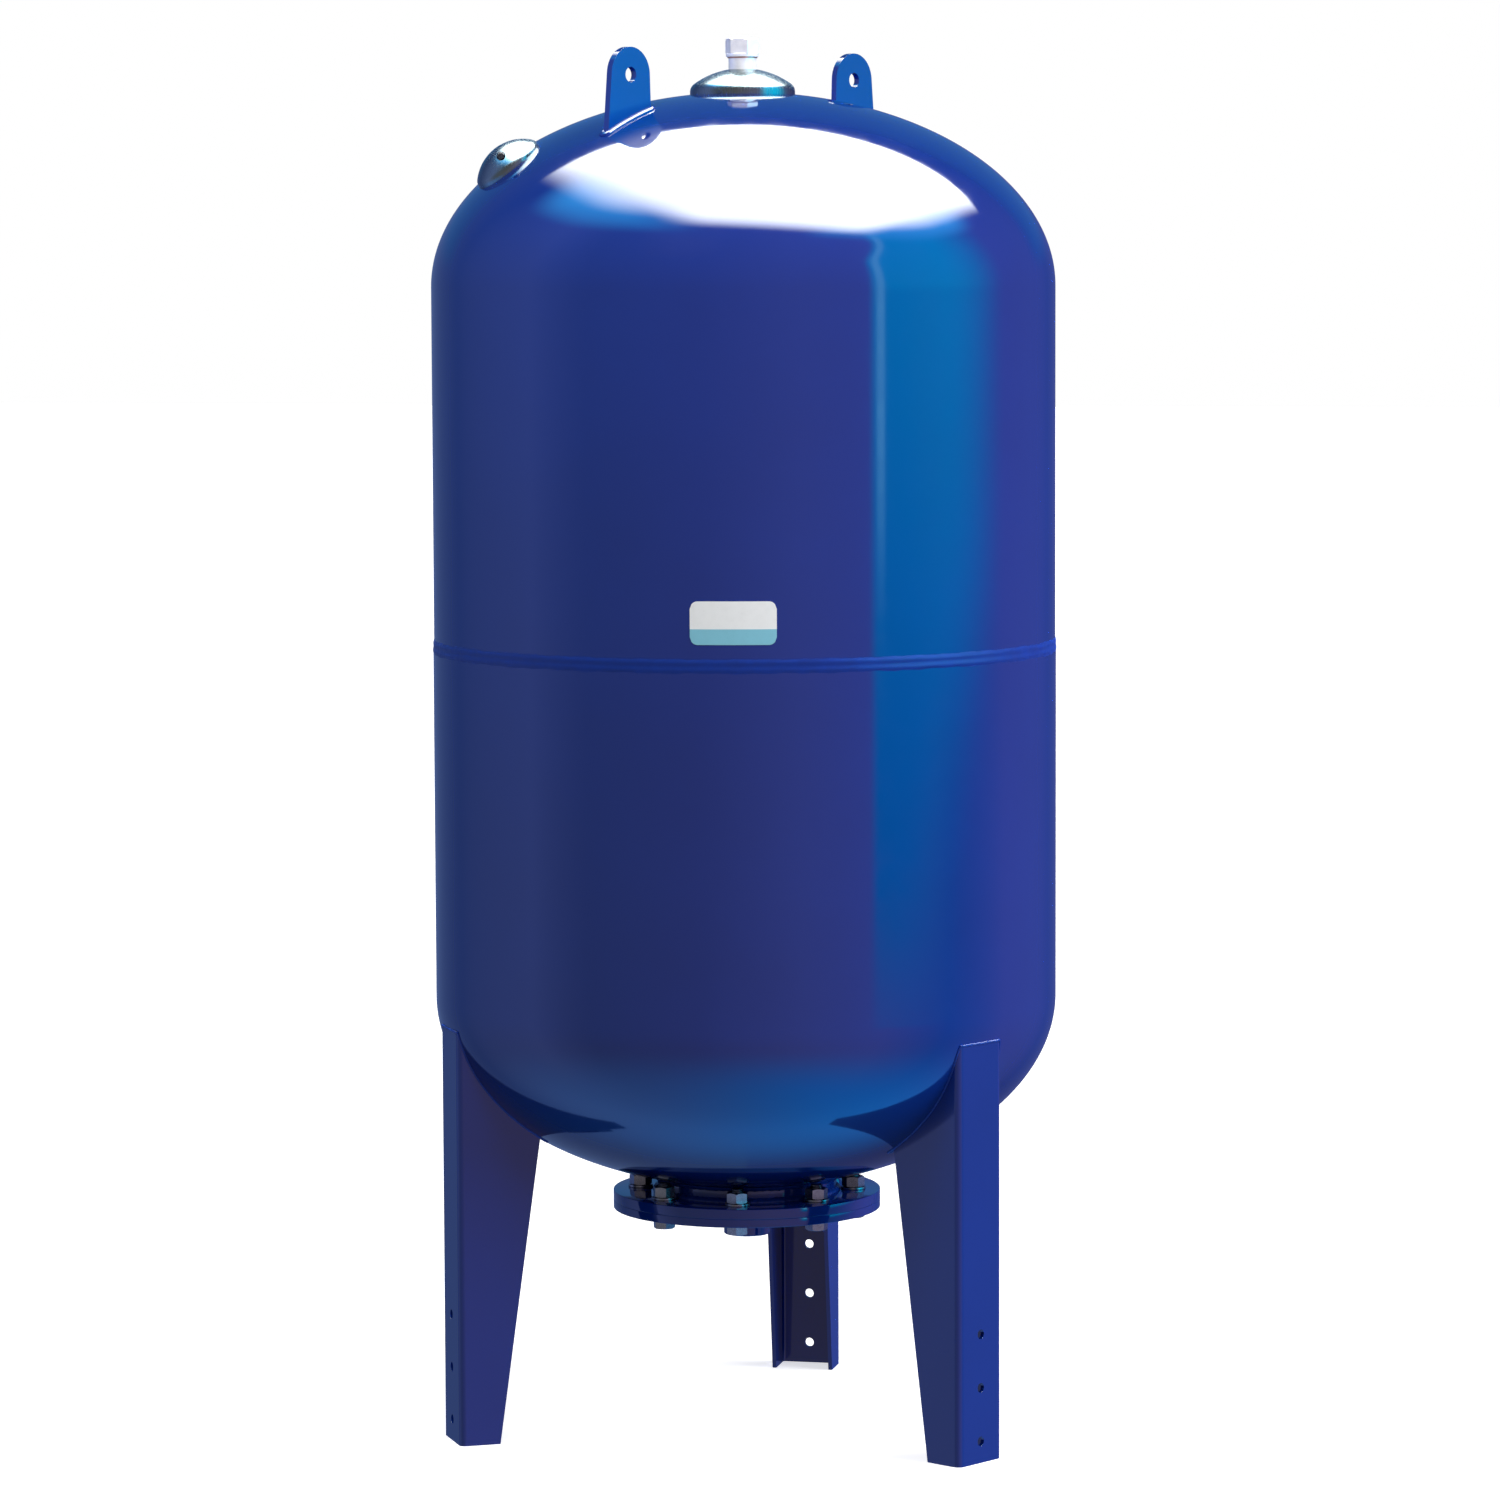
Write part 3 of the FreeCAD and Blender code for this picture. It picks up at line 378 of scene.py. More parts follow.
def wavy(points, centre, seed, amount, lumps):
    """Rings of a weld bead: the profile swells and shrinks about its centre along the way round."""
    def swell(angle):
        total = 0.0
        for order, (count, share) in enumerate(((lumps, 1.0), (lumps * 0.37, 0.8), (lumps * 2.3, 0.5))):
            total += share * math.sin(round(count) * angle + seed * (1.7 + order))
        return 1 + amount * total

    rings = []
    for point in points:
        def ring(angle, point=point):
            factor = swell(angle)
            return (centre[0] + (point[0] - centre[0]) * factor, centre[1] + (point[1] - centre[1]) * factor)
        rings.append(ring)
    return rings


def elliptic(radius, rise, tangent, start, end, steps):
    """Points of an elliptic head between two distances from the axis, evenly spread over its curve."""
    first = math.acos(min(1.0, start / radius))
    last = math.acos(min(1.0, end / radius))
    points = []
    for step in range(steps + 1):
        angle = first + (last - first) * step / steps
        points.append((radius * math.cos(angle), tangent + rise * math.sin(angle)))
    return points


def softened(node, width, segments=2):
    """Copy of a CAD node with its sharp edges rounded off."""
    mesh = node_mesh(node)
    bmesh.ops.dissolve_limit(
        mesh, angle_limit=math.radians(0.5), verts=mesh.verts, edges=mesh.edges, delimit={"NORMAL"})
    sharp = [e for e in mesh.edges if len(e.link_faces) == 2 and e.calc_face_angle() > math.radians(SHARP)]
    bmesh.ops.bevel(
        mesh, geom=sharp, offset=width, offset_type="OFFSET", segments=segments, profile=0.5,
        affect="EDGES", clamp_overlap=True)
    obj = new_object(node + "_rounded", mesh)
    flat = obj.modifiers.new("flat faces", "WEIGHTED_NORMAL")
    flat.keep_sharp = True
    return obj


def tube_along(mesh, path, closed, radius_at, sides=10):
    """Skin of a round bead along a path; radius_at gives its radius at a distance along it."""
    count = len(path)
    lengths = [0.0]
    for before, after in zip(path, path[1:]):
        lengths.append(lengths[-1] + (after - before).length)
    rows = []
    for index, point in enumerate(path):
        before = path[index - 1] if closed or index else point
        after = path[(index + 1) % count] if closed or index < count - 1 else point
        tangent = (after - before).normalized()
        side = tangent.orthogonal().normalized() if index == 0 else side
        side = (side - tangent * side.dot(tangent)).normalized()
        up = tangent.cross(side)
        radius = radius_at(lengths[index])
        row = []
        for step in range(sides):
            angle = TURN * step / sides
            row.append(mesh.verts.new(point + (side * math.cos(angle) + up * math.sin(angle)) * radius))
        rows.append(row)
    pairs = list(zip(rows, rows[1:]))
    if closed:
        twist = min(range(sides), key=lambda k: (rows[0][k].co - rows[-1][0].co).length)
        pairs.append((rows[-1], rows[0][twist:] + rows[0][:twist]))
    skin(mesh, pairs)
    if not closed:
        mesh.faces.new(rows[0])
        mesh.faces.new(rows[-1])


def bead_radius(size, pitch=3.2 * MM, ripple=0.055, seed=0.0):
    """Radius of a rippled bead at a distance along it."""
    def radius(distance):
        beat = abs(math.sin(math.pi * distance / pitch))
        drift = math.sin(distance / (19 * MM) + seed) + 0.6 * math.sin(distance / (7.3 * MM) + 2 * seed)
        return size * (1 + ripple * (beat - 0.6) + 0.035 * drift)
    return radius


def hexagon_rings(across_flats, low, high, chamfer_low, chamfer_high):
    """Side rings of a hexagonal prism whose corners are turned off at 30 degrees, from bottom to top."""
    half = across_flats / 2
    flat = half * TURNED_CORNERS

    def side(angle):
        return half / math.cos((angle % (math.pi / 3)) - math.pi / 6)

    def drop(angle):
        return (side(angle) - flat) * math.tan(math.radians(30))

    rings = []
    if chamfer_low:
        rings.append(lambda angle: (flat, low))
        rings.append(lambda angle: (side(angle), low + drop(angle)))
    else:
        rings.append(lambda angle: (side(angle), low))
    if chamfer_high:
        rings.append(lambda angle: (side(angle), high - drop(angle)))
        rings.append(lambda angle: (flat, high))
    else:
        rings.append(lambda angle: (side(angle), high))
    return rings


def add_thread(mesh, radius, depth, pitch, low, high, segments=32):
    """Screw thread on a rod with a bevelled end, closed at both ends."""
    steps = 4
    count = int(math.ceil((high - low) / pitch)) * steps + steps
    rings = []
    for index in range(count + 1):
        base = low - pitch + index * pitch / steps
        crest = depth * (0.0, 0.55, 1.0, 0.55)[index % steps]

        def ring(angle, base=base, crest=crest):
            height = min(max(base + pitch * angle / TURN, low), high)
            end = max(0.0, height - (high - THREAD_END)) * 0.9
            return (radius - max(crest, end), height)
        rings.append(ring)
    rings.insert(0, lambda angle: (0.0, low))
    rings.append(lambda angle: (0.0, high))
    add_rings(mesh, rings, segments, closed=False)


def dished(radius, height, hole, crown, knuckle, wall, skirt, steps=14):
    """Closed profile of a pressed cover: spherical crown, knuckle and skirt."""
    crown_z = height - crown
    knuckle_r = radius - knuckle
    knuckle_z = crown_z + math.sqrt((crown - knuckle) ** 2 - knuckle_r ** 2)
    half = math.atan2(knuckle_r, knuckle_z - crown_z)
    sides = []
    for offset in (0.0, wall):
        start = math.asin(hole / (crown - offset)) if hole else 0.0
        points = []
        for step in range(steps + 1):
            angle = start + (half - start) * step / steps
            points.append(((crown - offset) * math.sin(angle), crown_z + (crown - offset) * math.cos(angle)))
        for step in range(1, steps + 1):
            angle = half + (math.pi / 2 - half) * step / steps
            bend = knuckle - offset
            points.append((knuckle_r + bend * math.sin(angle), knuckle_z + bend * math.cos(angle)))
        points.append((radius - offset, -skirt))
        sides.append(points)
    return sides[0] + sides[1][::-1]


def placed(obj, matrix):
    """Moves an object's mesh by a matrix."""
    obj.data.transform(matrix)
    return obj


def cut_by(obj, cutter):
    """Takes a cutter's shape out of an object for good, and removes the cutter."""
    modifier = obj.modifiers.new("cut", "BOOLEAN")
    modifier.object = cutter
    modifier.solver = "EXACT"
    bpy.context.view_layer.update()
    result = bpy.data.meshes.new_from_object(obj.evaluated_get(bpy.context.evaluated_depsgraph_get()))
    obj.modifiers.clear()
    obj.data = result
    bpy.data.objects.remove(cutter)
    return obj


# Materials

def feed(tree, socket, value):
    """Links a value's socket to an input, or sets the input."""
    if isinstance(value, bpy.types.NodeSocket):
        tree.links.new(value, socket)
    else:
        socket.default_value = (*value, 1) if socket.type == "RGBA" else value


def ramp_of(tree, value, stops):
    """Colour ramp over a value from stops of (position, colour)."""
    node = tree.nodes.new("ShaderNodeValToRGB")
    tree.links.new(value, node.inputs[0])
    ramp = node.color_ramp
    while len(ramp.elements) < len(stops):
        ramp.elements.new(0.5)
    for element, (position, colour) in zip(ramp.elements, stops):
        element.position = position
        element.color = (*colour, 1)
    return node.outputs[0]


class Shader:
    """A Principled material with short calls for the nodes that feed it."""

    def __init__(self, name, colour, roughness, **sockets):
        self.material = bpy.data.materials.new(name)
        self.material.use_nodes = True
        self.tree = self.material.node_tree
        self.bsdf = self.tree.nodes["Principled BSDF"]
        self.colour = colour
        self.bsdf.inputs["Base Color"].default_value = (*colour, 1)
        self.bsdf.inputs["Roughness"].default_value = roughness
        for socket, value in sockets.items():
            self.bsdf.inputs[socket.replace("_", " ")].default_value = value
        self.place = self.tree.nodes.new("ShaderNodeTexCoord").outputs["Object"]

    def node(self, kind, **inputs):
        """New node with some inputs set or linked; an input's key is its name."""
        node = self.tree.nodes.new(kind)
        for key, value in inputs.items():
            feed(self.tree, node.inputs[key.replace("_", " ")], value)
        return node

    def noise(self, scale, detail, stretch=(1, 1, 1)):
        """Noise value in object space, at a number of grains per metre."""
        mapping = self.node("ShaderNodeMapping", Vector=self.place, Scale=stretch)
        grain = self.node(
            "ShaderNodeTexNoise", Vector=mapping.outputs[0], Scale=scale, Detail=detail, Roughness=0.55)
        return grain.outputs["Fac"]

    def link(self, socket, value):
        """Feeds one input of the shader."""
        self.tree.links.new(value, self.bsdf.inputs[socket])

    def mottle(self, value, *factors):
        """Runs the colour through the base colour times each of three factors, over a value."""
        stops = []
        for index, factor in enumerate(factors):
            colour = [min(1.0, channel * factor) for channel in self.colour]
            stops.append((0.25 + 0.25 * index, colour))
        self.link("Base Color", ramp_of(self.tree, value, stops))

    def gloss(self, value, low, high):
        """Runs the roughness from low to high over a value's usual range."""
        limits = {"From_Min": 0.3, "From_Max": 0.7, "To_Min": low, "To_Max": high}
        self.link("Roughness", self.node("ShaderNodeMapRange", Value=value, **limits).outputs[0])

    def bump(self, height, depth, strength=1.0):
        """Bumps the surface by a height value, as deep as stated, in metres."""
        node = self.node("ShaderNodeBump", Height=height, Distance=depth, Strength=strength)
        self.link("Normal", node.outputs["Normal"])


def surface(name, colour, roughness, inputs, mottle, gloss, bump):
    """Material whose colour, gloss and height vary, each over a noise of its own grain."""
    shader = Shader(name, colour, roughness, **inputs)
    for vary, (grain, *limits) in ((shader.mottle, mottle), (shader.gloss, gloss), (shader.bump, bump)):
        vary(shader.noise(*grain), *limits)
    return shader.material


def rubber(colour, roughness):
    """Moulded rubber: fine grain and a slight bloom."""
    gloss = ((300, 4), roughness - 0.08, roughness + 0.08)
    return colour, roughness, {"IOR": 1.5}, ((60, 5), 0.8, 1.0, 1.35), gloss, ((1800, 3), 0.04 * MM, 0.5)


def cast_metal(colour, roughness):
    """Turned brass or soft copper: slightly blotched by handling."""
    gloss = ((600, 4), roughness - 0.06, roughness + 0.1)
    bump = ((1200, 3), 0.015 * MM, 0.4)
    return colour, roughness, {"Metallic": 1.0}, ((200, 5), 0.72, 1.0, 1.1), gloss, bump


def label_film(colour):
    """Printed polyester film: nearly even, with a faint paper-like unevenness."""
    gloss = ((300, 3), 0.27, 0.38)
    return colour, 0.32, {"IOR": 1.5}, ((120, 4), 0.97, 1.0, 1.02), gloss, ((900, 2), 0.01 * MM, 0.3)


# Colour, roughness, other inputs, then mottle, gloss and bump, each as its grain and its limits
SURFACES = {
    # Glossy enamel: orange peel, faint unevenness in colour and gloss, a little settled dust
    "blue_paint": (
        (0.0012, 0.0200, 0.190), 0.07, {"IOR": 1.5},
        ((6, 4), 0.94, 1.0, 1.06), ((45, 5), 0.055, 0.095), ((320, 2), 0.02 * MM, 0.35)),
    # The same enamel over a weld bead, slightly rougher
    "weld_paint": (
        (0.0014, 0.0220, 0.190), 0.36, {"IOR": 1.5, "Specular_IOR_Level": 0.3},
        ((30, 4), 0.88, 1.0, 1.1), ((120, 4), 0.30, 0.44), ((500, 3), 0.05 * MM, 0.5)),
    # Blue-passivated fasteners: fine matt grain with small bright wear marks
    "zinc_plating": (
        (0.21, 0.22, 0.23), 0.34, {"Metallic": 1.0},
        ((260, 5), 0.78, 1.0, 1.12), ((900, 4), 0.22, 0.4), ((1500, 3), 0.02 * MM, 0.4)),
    # Bright pressed covers with faint drawing marks and a greenish passivate
    "cover_zinc": (
        (0.13, 0.165, 0.165), 0.24, {"Metallic": 1.0}, ((70, 4), 0.86, 1.0, 1.08),
        ((400, 5, (1, 1, 0.08)), 0.19, 0.31), ((600, 3, (1, 1, 0.1)), 0.004 * MM, 0.3)),
    # Turned and chromed steel with fine lathe marks round its axis
    "bright_steel": (
        (0.86, 0.85, 0.85), 0.40, {"Metallic": 0.45}, ((150, 4), 0.92, 1.0, 1.06),
        ((300, 4, (1, 1, 8)), 0.35, 0.47), ((700, 2, (0.02, 0.02, 4)), 0.01 * MM, 0.4)),
    "bladder_rubber": rubber((0.018, 0.018, 0.019), 0.62),
    "seal_rubber": rubber((0.022, 0.022, 0.022), 0.55),
    "valve_brass": cast_metal((0.72, 0.50, 0.22), 0.2),
    "washer_copper": cast_metal((0.74, 0.36, 0.22), 0.26),
    # Black moulded plastic with a fine spark-eroded texture
    "cap_plastic": (
        (0.012, 0.013, 0.014), 0.42, {"IOR": 1.48},
        ((500, 4), 0.8, 1.0, 1.5), ((900, 3), 0.34, 0.5), ((2600, 2), 0.03 * MM, 0.5)),
    "label_white": label_film((0.80, 0.82, 0.83)),
    "label_blue": label_film((0.20, 0.50, 0.62)),
}
MATERIALS = {name: surface(name, *looks) for name, looks in SURFACES.items()}


def piece(obj, slot, *replaced, body="root", material=None):
    """Puts a new piece on its body, gives it its slot's material or the one named, and hides what it stands
    for.
    """
    obj.data.materials.clear()
    obj.data.materials.append(MATERIALS[material or slot])
    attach(obj, body)
    if replaced:
        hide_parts(*replaced)


# Vessel

def level_rings(radius, start, end):
    """Rings close to both ends of a cylinder, so that the shading bends only there."""
    towards = 1 if end > start else -1
    far, near = END_RINGS
    heights = [start + towards * far, end - towards * far, end - towards * near, end]
    return [(radius, height) for height in heights]


def upper_shell():
    """Upper half shell as one smooth turned skin of the sheet's thickness."""
    outer = UPPER_RADIUS
    inner = outer - WALL
    tongue = LOWER_RADIUS - WALL - LAP_GAP
    low = SEAM - LAP_TONGUE
    narrow, wide = (SEAM + height for height in JOGGLE)
    profile = elliptic(outer, HEAD_HEIGHT, UPPER_TANGENT, TOP_HOLE, outer, 72)
    profile += level_rings(outer, UPPER_TANGENT, wide)
    profile += [(tongue, narrow), (tongue, low), (tongue - WALL, low)]
    profile += [(tongue - WALL, narrow), (inner, wide)]
    profile += elliptic(inner, HEAD_HEIGHT - WALL, UPPER_TANGENT, TOP_HOLE, inner, 48)[::-1]
    piece(lathe("upper_shell_skin", profile, SHELL_SEGMENTS), "blue_paint", "upper_shell")


def lower_shell():
    """Lower half shell, open at the neck."""
    outer = LOWER_RADIUS
    inner = outer - WALL
    neck_hole = NECK_RADIUS - 0.5 * MM
    edge = SEAM - LOWER_EDGE
    profile = elliptic(outer, -HEAD_HEIGHT, LOWER_TANGENT, neck_hole, outer, 72)
    profile += level_rings(outer, LOWER_TANGENT, edge - SHEET_CHAMFER)
    profile += [(outer - SHEET_CHAMFER, edge), (inner, edge)]
    profile += elliptic(inner, WALL - HEAD_HEIGHT, LOWER_TANGENT, neck_hole, inner, 48)[::-1]
    piece(lathe("lower_shell_skin", profile, SHELL_SEGMENTS), "blue_paint", "lower_shell")


def girth_weld():
    """Joint bead between the half shells: two shallow ridges with a groove between them."""
    low, high = span("girth_weld")
    steps = 32
    profile = []
    for step in range(steps + 1):
        share = step / steps
        base = LOWER_RADIUS + (UPPER_RADIUS - LOWER_RADIUS) * share - 0.1 * MM
        ridge = BEAD_HEIGHT * math.sin(2 * math.pi * share) ** 2 + BEAD_FILL * math.sin(math.pi * share)
        profile.append((base + ridge, low + (high - low) * share))
    profile += [(UPPER_RADIUS - 2 * BEAD_ROOT, high), (UPPER_RADIUS - 2 * BEAD_ROOT, low)]
    mesh = bmesh.new()
    add_rings(mesh, wavy(profile, (UPPER_RADIUS, SEAM), 1.0, 0.03, 64), 720)
    piece(new_object("girth_bead", mesh), "blue_paint", "girth_weld", material="weld_paint")


def fillet(height, lift, steps=8):
    """Closed profile of a hollow fillet bead on the neck, above (1) or below (-1) a height."""
    points = [(NECK_RADIUS - BEAD_ROOT, height - 2 * BEAD_ROOT * lift)]
    for step in range(steps + 1):
        angle = math.pi / 2 * step / steps
        out = NECK_BEAD * math.cos(angle) ** FILLET_POWER
        up = NECK_BEAD * math.sin(angle) ** FILLET_POWER
        points.append((NECK_RADIUS + out, height + lift * up))
    points.append((NECK_RADIUS - BEAD_ROOT, height + lift * NECK_BEAD))
    return points


def neck():
    """Neck pipe with its two circumferential beads."""
    inner = NECK_RADIUS - NECK_WALL
    low = span("neck_collar")[0]
    top = NECK_TOP + NECK_STAND
    profile = rounded([(NECK_RADIUS, low), (NECK_RADIUS, top), (inner, top), (inner, low)], 0.5 * MM)
    piece(lathe("neck_pipe", profile), "blue_paint", "neck_collar")

    mesh = bmesh.new()
    for height, lift in ((RING_TOP, 1), (NECK_TOP, -1)):
        bead = wavy(fillet(height, lift), (NECK_RADIUS, height), lift + 2.0, 0.05, 70)
        add_rings(mesh, bead, BEAD_SEGMENTS)
    piece(new_object("neck_beads", mesh), "blue_paint", "neck_welds", material="weld_paint")


def flat_ring(inner, outer, low, high):
    """Closed rectangular profile of a ring."""
    return [(inner, low), (outer, low), (outer, high), (inner, high)]


def flanges():
    """Neck flange and counterflange, turned with small broken edges."""
    ring = flat_ring(NECK_RADIUS - SEATED, FLANGE_RADIUS, RING_LOW, RING_TOP)
    piece(lathe("flange_ring_turned", rounded(ring, FLANGE_EDGE)), "blue_paint", "neck_flange_ring")
    disc = flat_ring(radius_of("water_connection") - SEATED, FLANGE_RADIUS, COUNTERFLANGE_LOW, RING_LOW)
    piece(lathe("counterflange_turned", rounded(disc, FLANGE_EDGE)), "blue_paint", "counterflange")


def socket_thread(low, high, steps=4):
    """Rings of the water socket's inside thread, from its upper end down to its bevelled mouth."""
    count = int((high - low) / SOCKET_PITCH) * steps
    rings = []
    for index in range(count + 1):
        base = high - (high - low) * index / count
        depth = SOCKET_DEPTH * (0.0, 0.5, 1.0, 0.5)[index % steps]

        def ring(angle, base=base, depth=depth):
            height = min(max(base + SOCKET_PITCH * (angle / TURN - 0.5), low), high)
            mouth = max(0.0, SOCKET_MOUTH[2] - (height - low))
            return (SOCKET_BORE + max(depth, min(mouth, SOCKET_MOUTH[1])), height)
        rings.append(ring)
    return rings


def water_socket():
    """Threaded water socket under the counterflange, and the bead round it."""
    radius = radius_of("water_connection")
    low, high = span("water_connection")
    outside = [(SOCKET_BORE + SOCKET_MOUTH[0], low), (radius - SOCKET_EDGE, low), (radius, low + SOCKET_EDGE)]
    outside += [(radius, high), (SOCKET_BORE + SOCKET_DEPTH, high)]
    mesh = bmesh.new()
    add_rings(mesh, fixed(outside) + socket_thread(low, high), 96)
    piece(new_object("water_socket", mesh), "blue_paint", "water_connection")

    outline = ((-0.2, 0.2), (1.0, 0.1), (0.76, -0.38), (0.38, -0.76), (-0.1, -1.0))
    points = [(radius + SOCKET_BEAD * u, COUNTERFLANGE_LOW + SOCKET_BEAD * v) for u, v in outline]
    mesh = bmesh.new()
    add_rings(mesh, wavy(points, (radius, COUNTERFLANGE_LOW), 4.0, 0.05, 24), 240)
    piece(new_object("socket_bead", mesh), "blue_paint", "socket_weld", material="weld_paint")


def on_circle(low, high):
    """Placement on a fastener's own axis, with its local +X pointing away from the vessel's axis."""
    x, y = (low.x + high.x) / 2, (low.y + high.y) / 2
    return Matrix.Translation((x, y, 0)) @ Matrix.Rotation(math.atan2(y, x), 4, "Z")


def add_nut(mesh, low, high):
    """Hexagon nut with turned corners and a bevelled bore."""
    rings = hexagon_rings(ACROSS_FLATS, low, high, True, True)
    rings += fixed([(NUT_BORE + NUT_BEVEL, high), (NUT_BORE, high - NUT_BEVEL)])
    rings += fixed([(NUT_BORE, low + NUT_BEVEL), (NUT_BORE + NUT_BEVEL, low)])
    add_rings(mesh, rings, 72)


def add_bolt(mesh, low, high):
    """Hexagon bolt with a run of thread at its upper end."""
    head_top = low + BOLT_HEAD
    thread_low = high - BOLT_THREAD
    shank_low = head_top - SHANK_LAP
    head = fixed([(0.0, low)]) + hexagon_rings(ACROSS_FLATS, low, head_top, True, False)
    add_rings(mesh, head + fixed([(0.0, head_top)]), 72, closed=False)
    shank = [(0.0, shank_low), (BOLT_SHANK, shank_low), (BOLT_SHANK, thread_low), (0.0, thread_low)]
    add_rings(mesh, fixed(shank), 32, closed=False)
    add_thread(mesh, BOLT_SHANK, THREAD_DEPTH, THREAD_PITCH, thread_low, high)


def add_washer(mesh, low, high):
    """Plain washer with broken edges."""
    add_rings(mesh, fixed(rounded(flat_ring(*WASHER, low, high), WASHER_EDGE)), 64)


def fasteners():
    """The flange's nuts, bolts and washers, each drawn where the CAD has one."""
    kinds = (
        ("flange_nuts", "hexagon_nuts", add_nut),
        ("flange_bolts", "hexagon_bolts", add_bolt),
        ("flange_washers", "plain_washers", add_washer),
    )
    for node, name, draw in kinds:
        whole = bmesh.new()
        for low, high in solids_of(node):
            mesh = bmesh.new()
            draw(mesh, low.z, high.z)
            join(whole, mesh, on_circle(low, high))
        piece(new_object(name, whole, 20), "zinc_plating", node)


def join(target, source, matrix):
    """Adds one editable mesh to another, moved by a matrix."""
    data = bpy.data.meshes.new("part")
    source.transform(matrix)
    source.to_mesh(data)
    source.free()
    target.from_mesh(data)
    bpy.data.meshes.remove(data)


# Legs and lugs

def legs():
    """The three channel legs with rounded plate edges."""
    for name in ("leg_rear", "leg_left", "leg_right"):
        piece(softened(name, LEG_EDGE), "blue_paint", name)


def leg_beads():
    """Slim beads where the legs meet the head, along the outside and inside of each channel."""
    mesh = bmesh.new()
    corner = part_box("leg_rear")[1]
    for azimuth in LEG_AZIMUTHS:
        for offset in (0.2 * MM, -LEG_PLATE - 0.2 * MM):
            path = []
            for u, v in channel_line(corner.y + offset, corner.x + offset, LEG_BEND + offset):
                reach = max(1.0, math.hypot(u, v) / (LOWER_RADIUS - 0.5 * MM))
                rise = head_rise(math.hypot(u, v) / reach, LOWER_RADIUS)
                height = min(LOWER_TANGENT - rise, corner.z)
                path.append(from_axis(azimuth, u / reach, v / reach, height))
            tube_along(mesh, path, False, bead_radius(LEG_BEAD, seed=azimuth + offset / MM))
    piece(new_object("leg_beads", mesh), "blue_paint", "leg_welds", material="weld_paint")


def channel_line(outer, half, bend):
    """(u, v) points along a channel's outline from one flange edge round the web to the other."""
    bend = max(bend, 1.5 * MM)
    side = []
    for step in range(48):
        side.append((LEG_INNER + (outer - bend - LEG_INNER) * step / 48, -half))
    for step in range(7):
        angle = math.pi / 2 * step / 6
        side.append((outer - bend + bend * math.sin(angle), -half + bend - bend * math.cos(angle)))
    for step in range(1, 10):
        side.append((outer, (bend - half) * (1 - step / 10)))
    return side + [(outer, 0.0)] + [(u, -v) for u, v in reversed(side)]


def lug_outline(steps=34):
    """(u, v) points round a lug's foot, along and across it."""
    inner, outer = LUG_FOOT
    side = LUG_HALF + BEAD_ROOT
    outline = [(inner + (outer - inner) * step / steps, -side) for step in range(steps)]
    outline += [(outer + BEAD_ROOT, -LUG_HALF), (outer + 2 * BEAD_ROOT, 0), (outer + BEAD_ROOT, LUG_HALF)]
    outline += [(outer - (outer - inner) * step / steps, side) for step in range(steps)]
    outline += [(inner - BEAD_ROOT, LUG_HALF), (inner - 2 * BEAD_ROOT, 0), (inner - BEAD_ROOT, -LUG_HALF)]
    return outline


def lugs():
    """Lifting lugs with rounded plate edges, and the beads round their feet."""
    for name in ("lifting_lug_left", "lifting_lug_right"):
        piece(softened(name, LUG_EDGE), "blue_paint", name)
    mesh = bmesh.new()
    for azimuth in LUG_AZIMUTHS:
        path = []
        for u, v in lug_outline():
            height = UPPER_TANGENT + head_rise(math.hypot(u, v), UPPER_RADIUS)
            path.append(from_axis(azimuth, u, v, height))
        tube_along(mesh, path, True, bead_radius(LUG_BEAD, seed=azimuth))
    piece(new_object("lug_beads", mesh), "blue_paint", "lug_welds")


# Top fitting

def top_fitting():
    """Dished cover, nipple and sealing washer of the plug."""
    radius = radius_of("top_cover")
    base = UPPER_TANGENT + head_rise(radius, UPPER_RADIUS)
    height = span("top_cover")[1] + TOP_COVER_POLE - base
    profile = dished(radius, height, NIPPLE_RADIUS + 0.1 * MM, **TOP_COVER)
    cover = placed(lathe("top_cover_pressed", profile), Matrix.Translation((0, 0, base)))
    piece(cover, "cover_zinc", "top_cover")

    stub = flat_ring(NIPPLE_BORE, NIPPLE_RADIUS, base + NIPPLE_LOW, span("tie_nipple")[1])
    piece(lathe("nipple_stub", rounded(stub, NIPPLE_EDGE)), "bright_steel")

    ring = rounded(flat_ring(*PLUG_WASHER, *span("top_plug_washer")), PLUG_WASHER_EDGE)
    piece(lathe("plug_washer_turned", ring), "washer_copper", "top_plug_washer", body="plug_washer")


def plug():
    """Hexagon plug with a collar, a recess in its end and its thread."""
    seat = span("top_plug_washer")[1]
    low, top = span("top_plug")
    collar, collar_height = PLUG_COLLAR
    hole, bevel, deep = PLUG_HOLE
    body = [(0.0, seat), (collar, seat), (collar, seat + collar_height), (0.0, seat + collar_height)]
    mesh = bmesh.new()
    add_rings(mesh, fixed(rounded(body, PLUG_COLLAR_EDGE)), 128, closed=False)

    hexagon_low = seat + collar_height - PLUG_LAP
    rings = fixed([(0.0, hexagon_low)]) + hexagon_rings(PLUG_ACROSS, hexagon_low, top, False, True)
    rings += fixed([(hole + bevel, top), (hole, top - bevel), (hole, top - deep), (0.0, top - deep)])
    add_rings(mesh, rings, 144, closed=False)

    thread = bmesh.new()
    add_thread(thread, *PLUG_THREAD, 0.0, seat + THREAD_LAP - low, 96)
    upside_down = Matrix.Translation((0, 0, seat + THREAD_LAP)) @ Matrix.Rotation(math.pi, 4, "X")
    join(mesh, thread, upside_down)
    piece(new_object("hexagon_plug", mesh, 20), "bright_steel", "top_plug", body="plug")


# Air valve

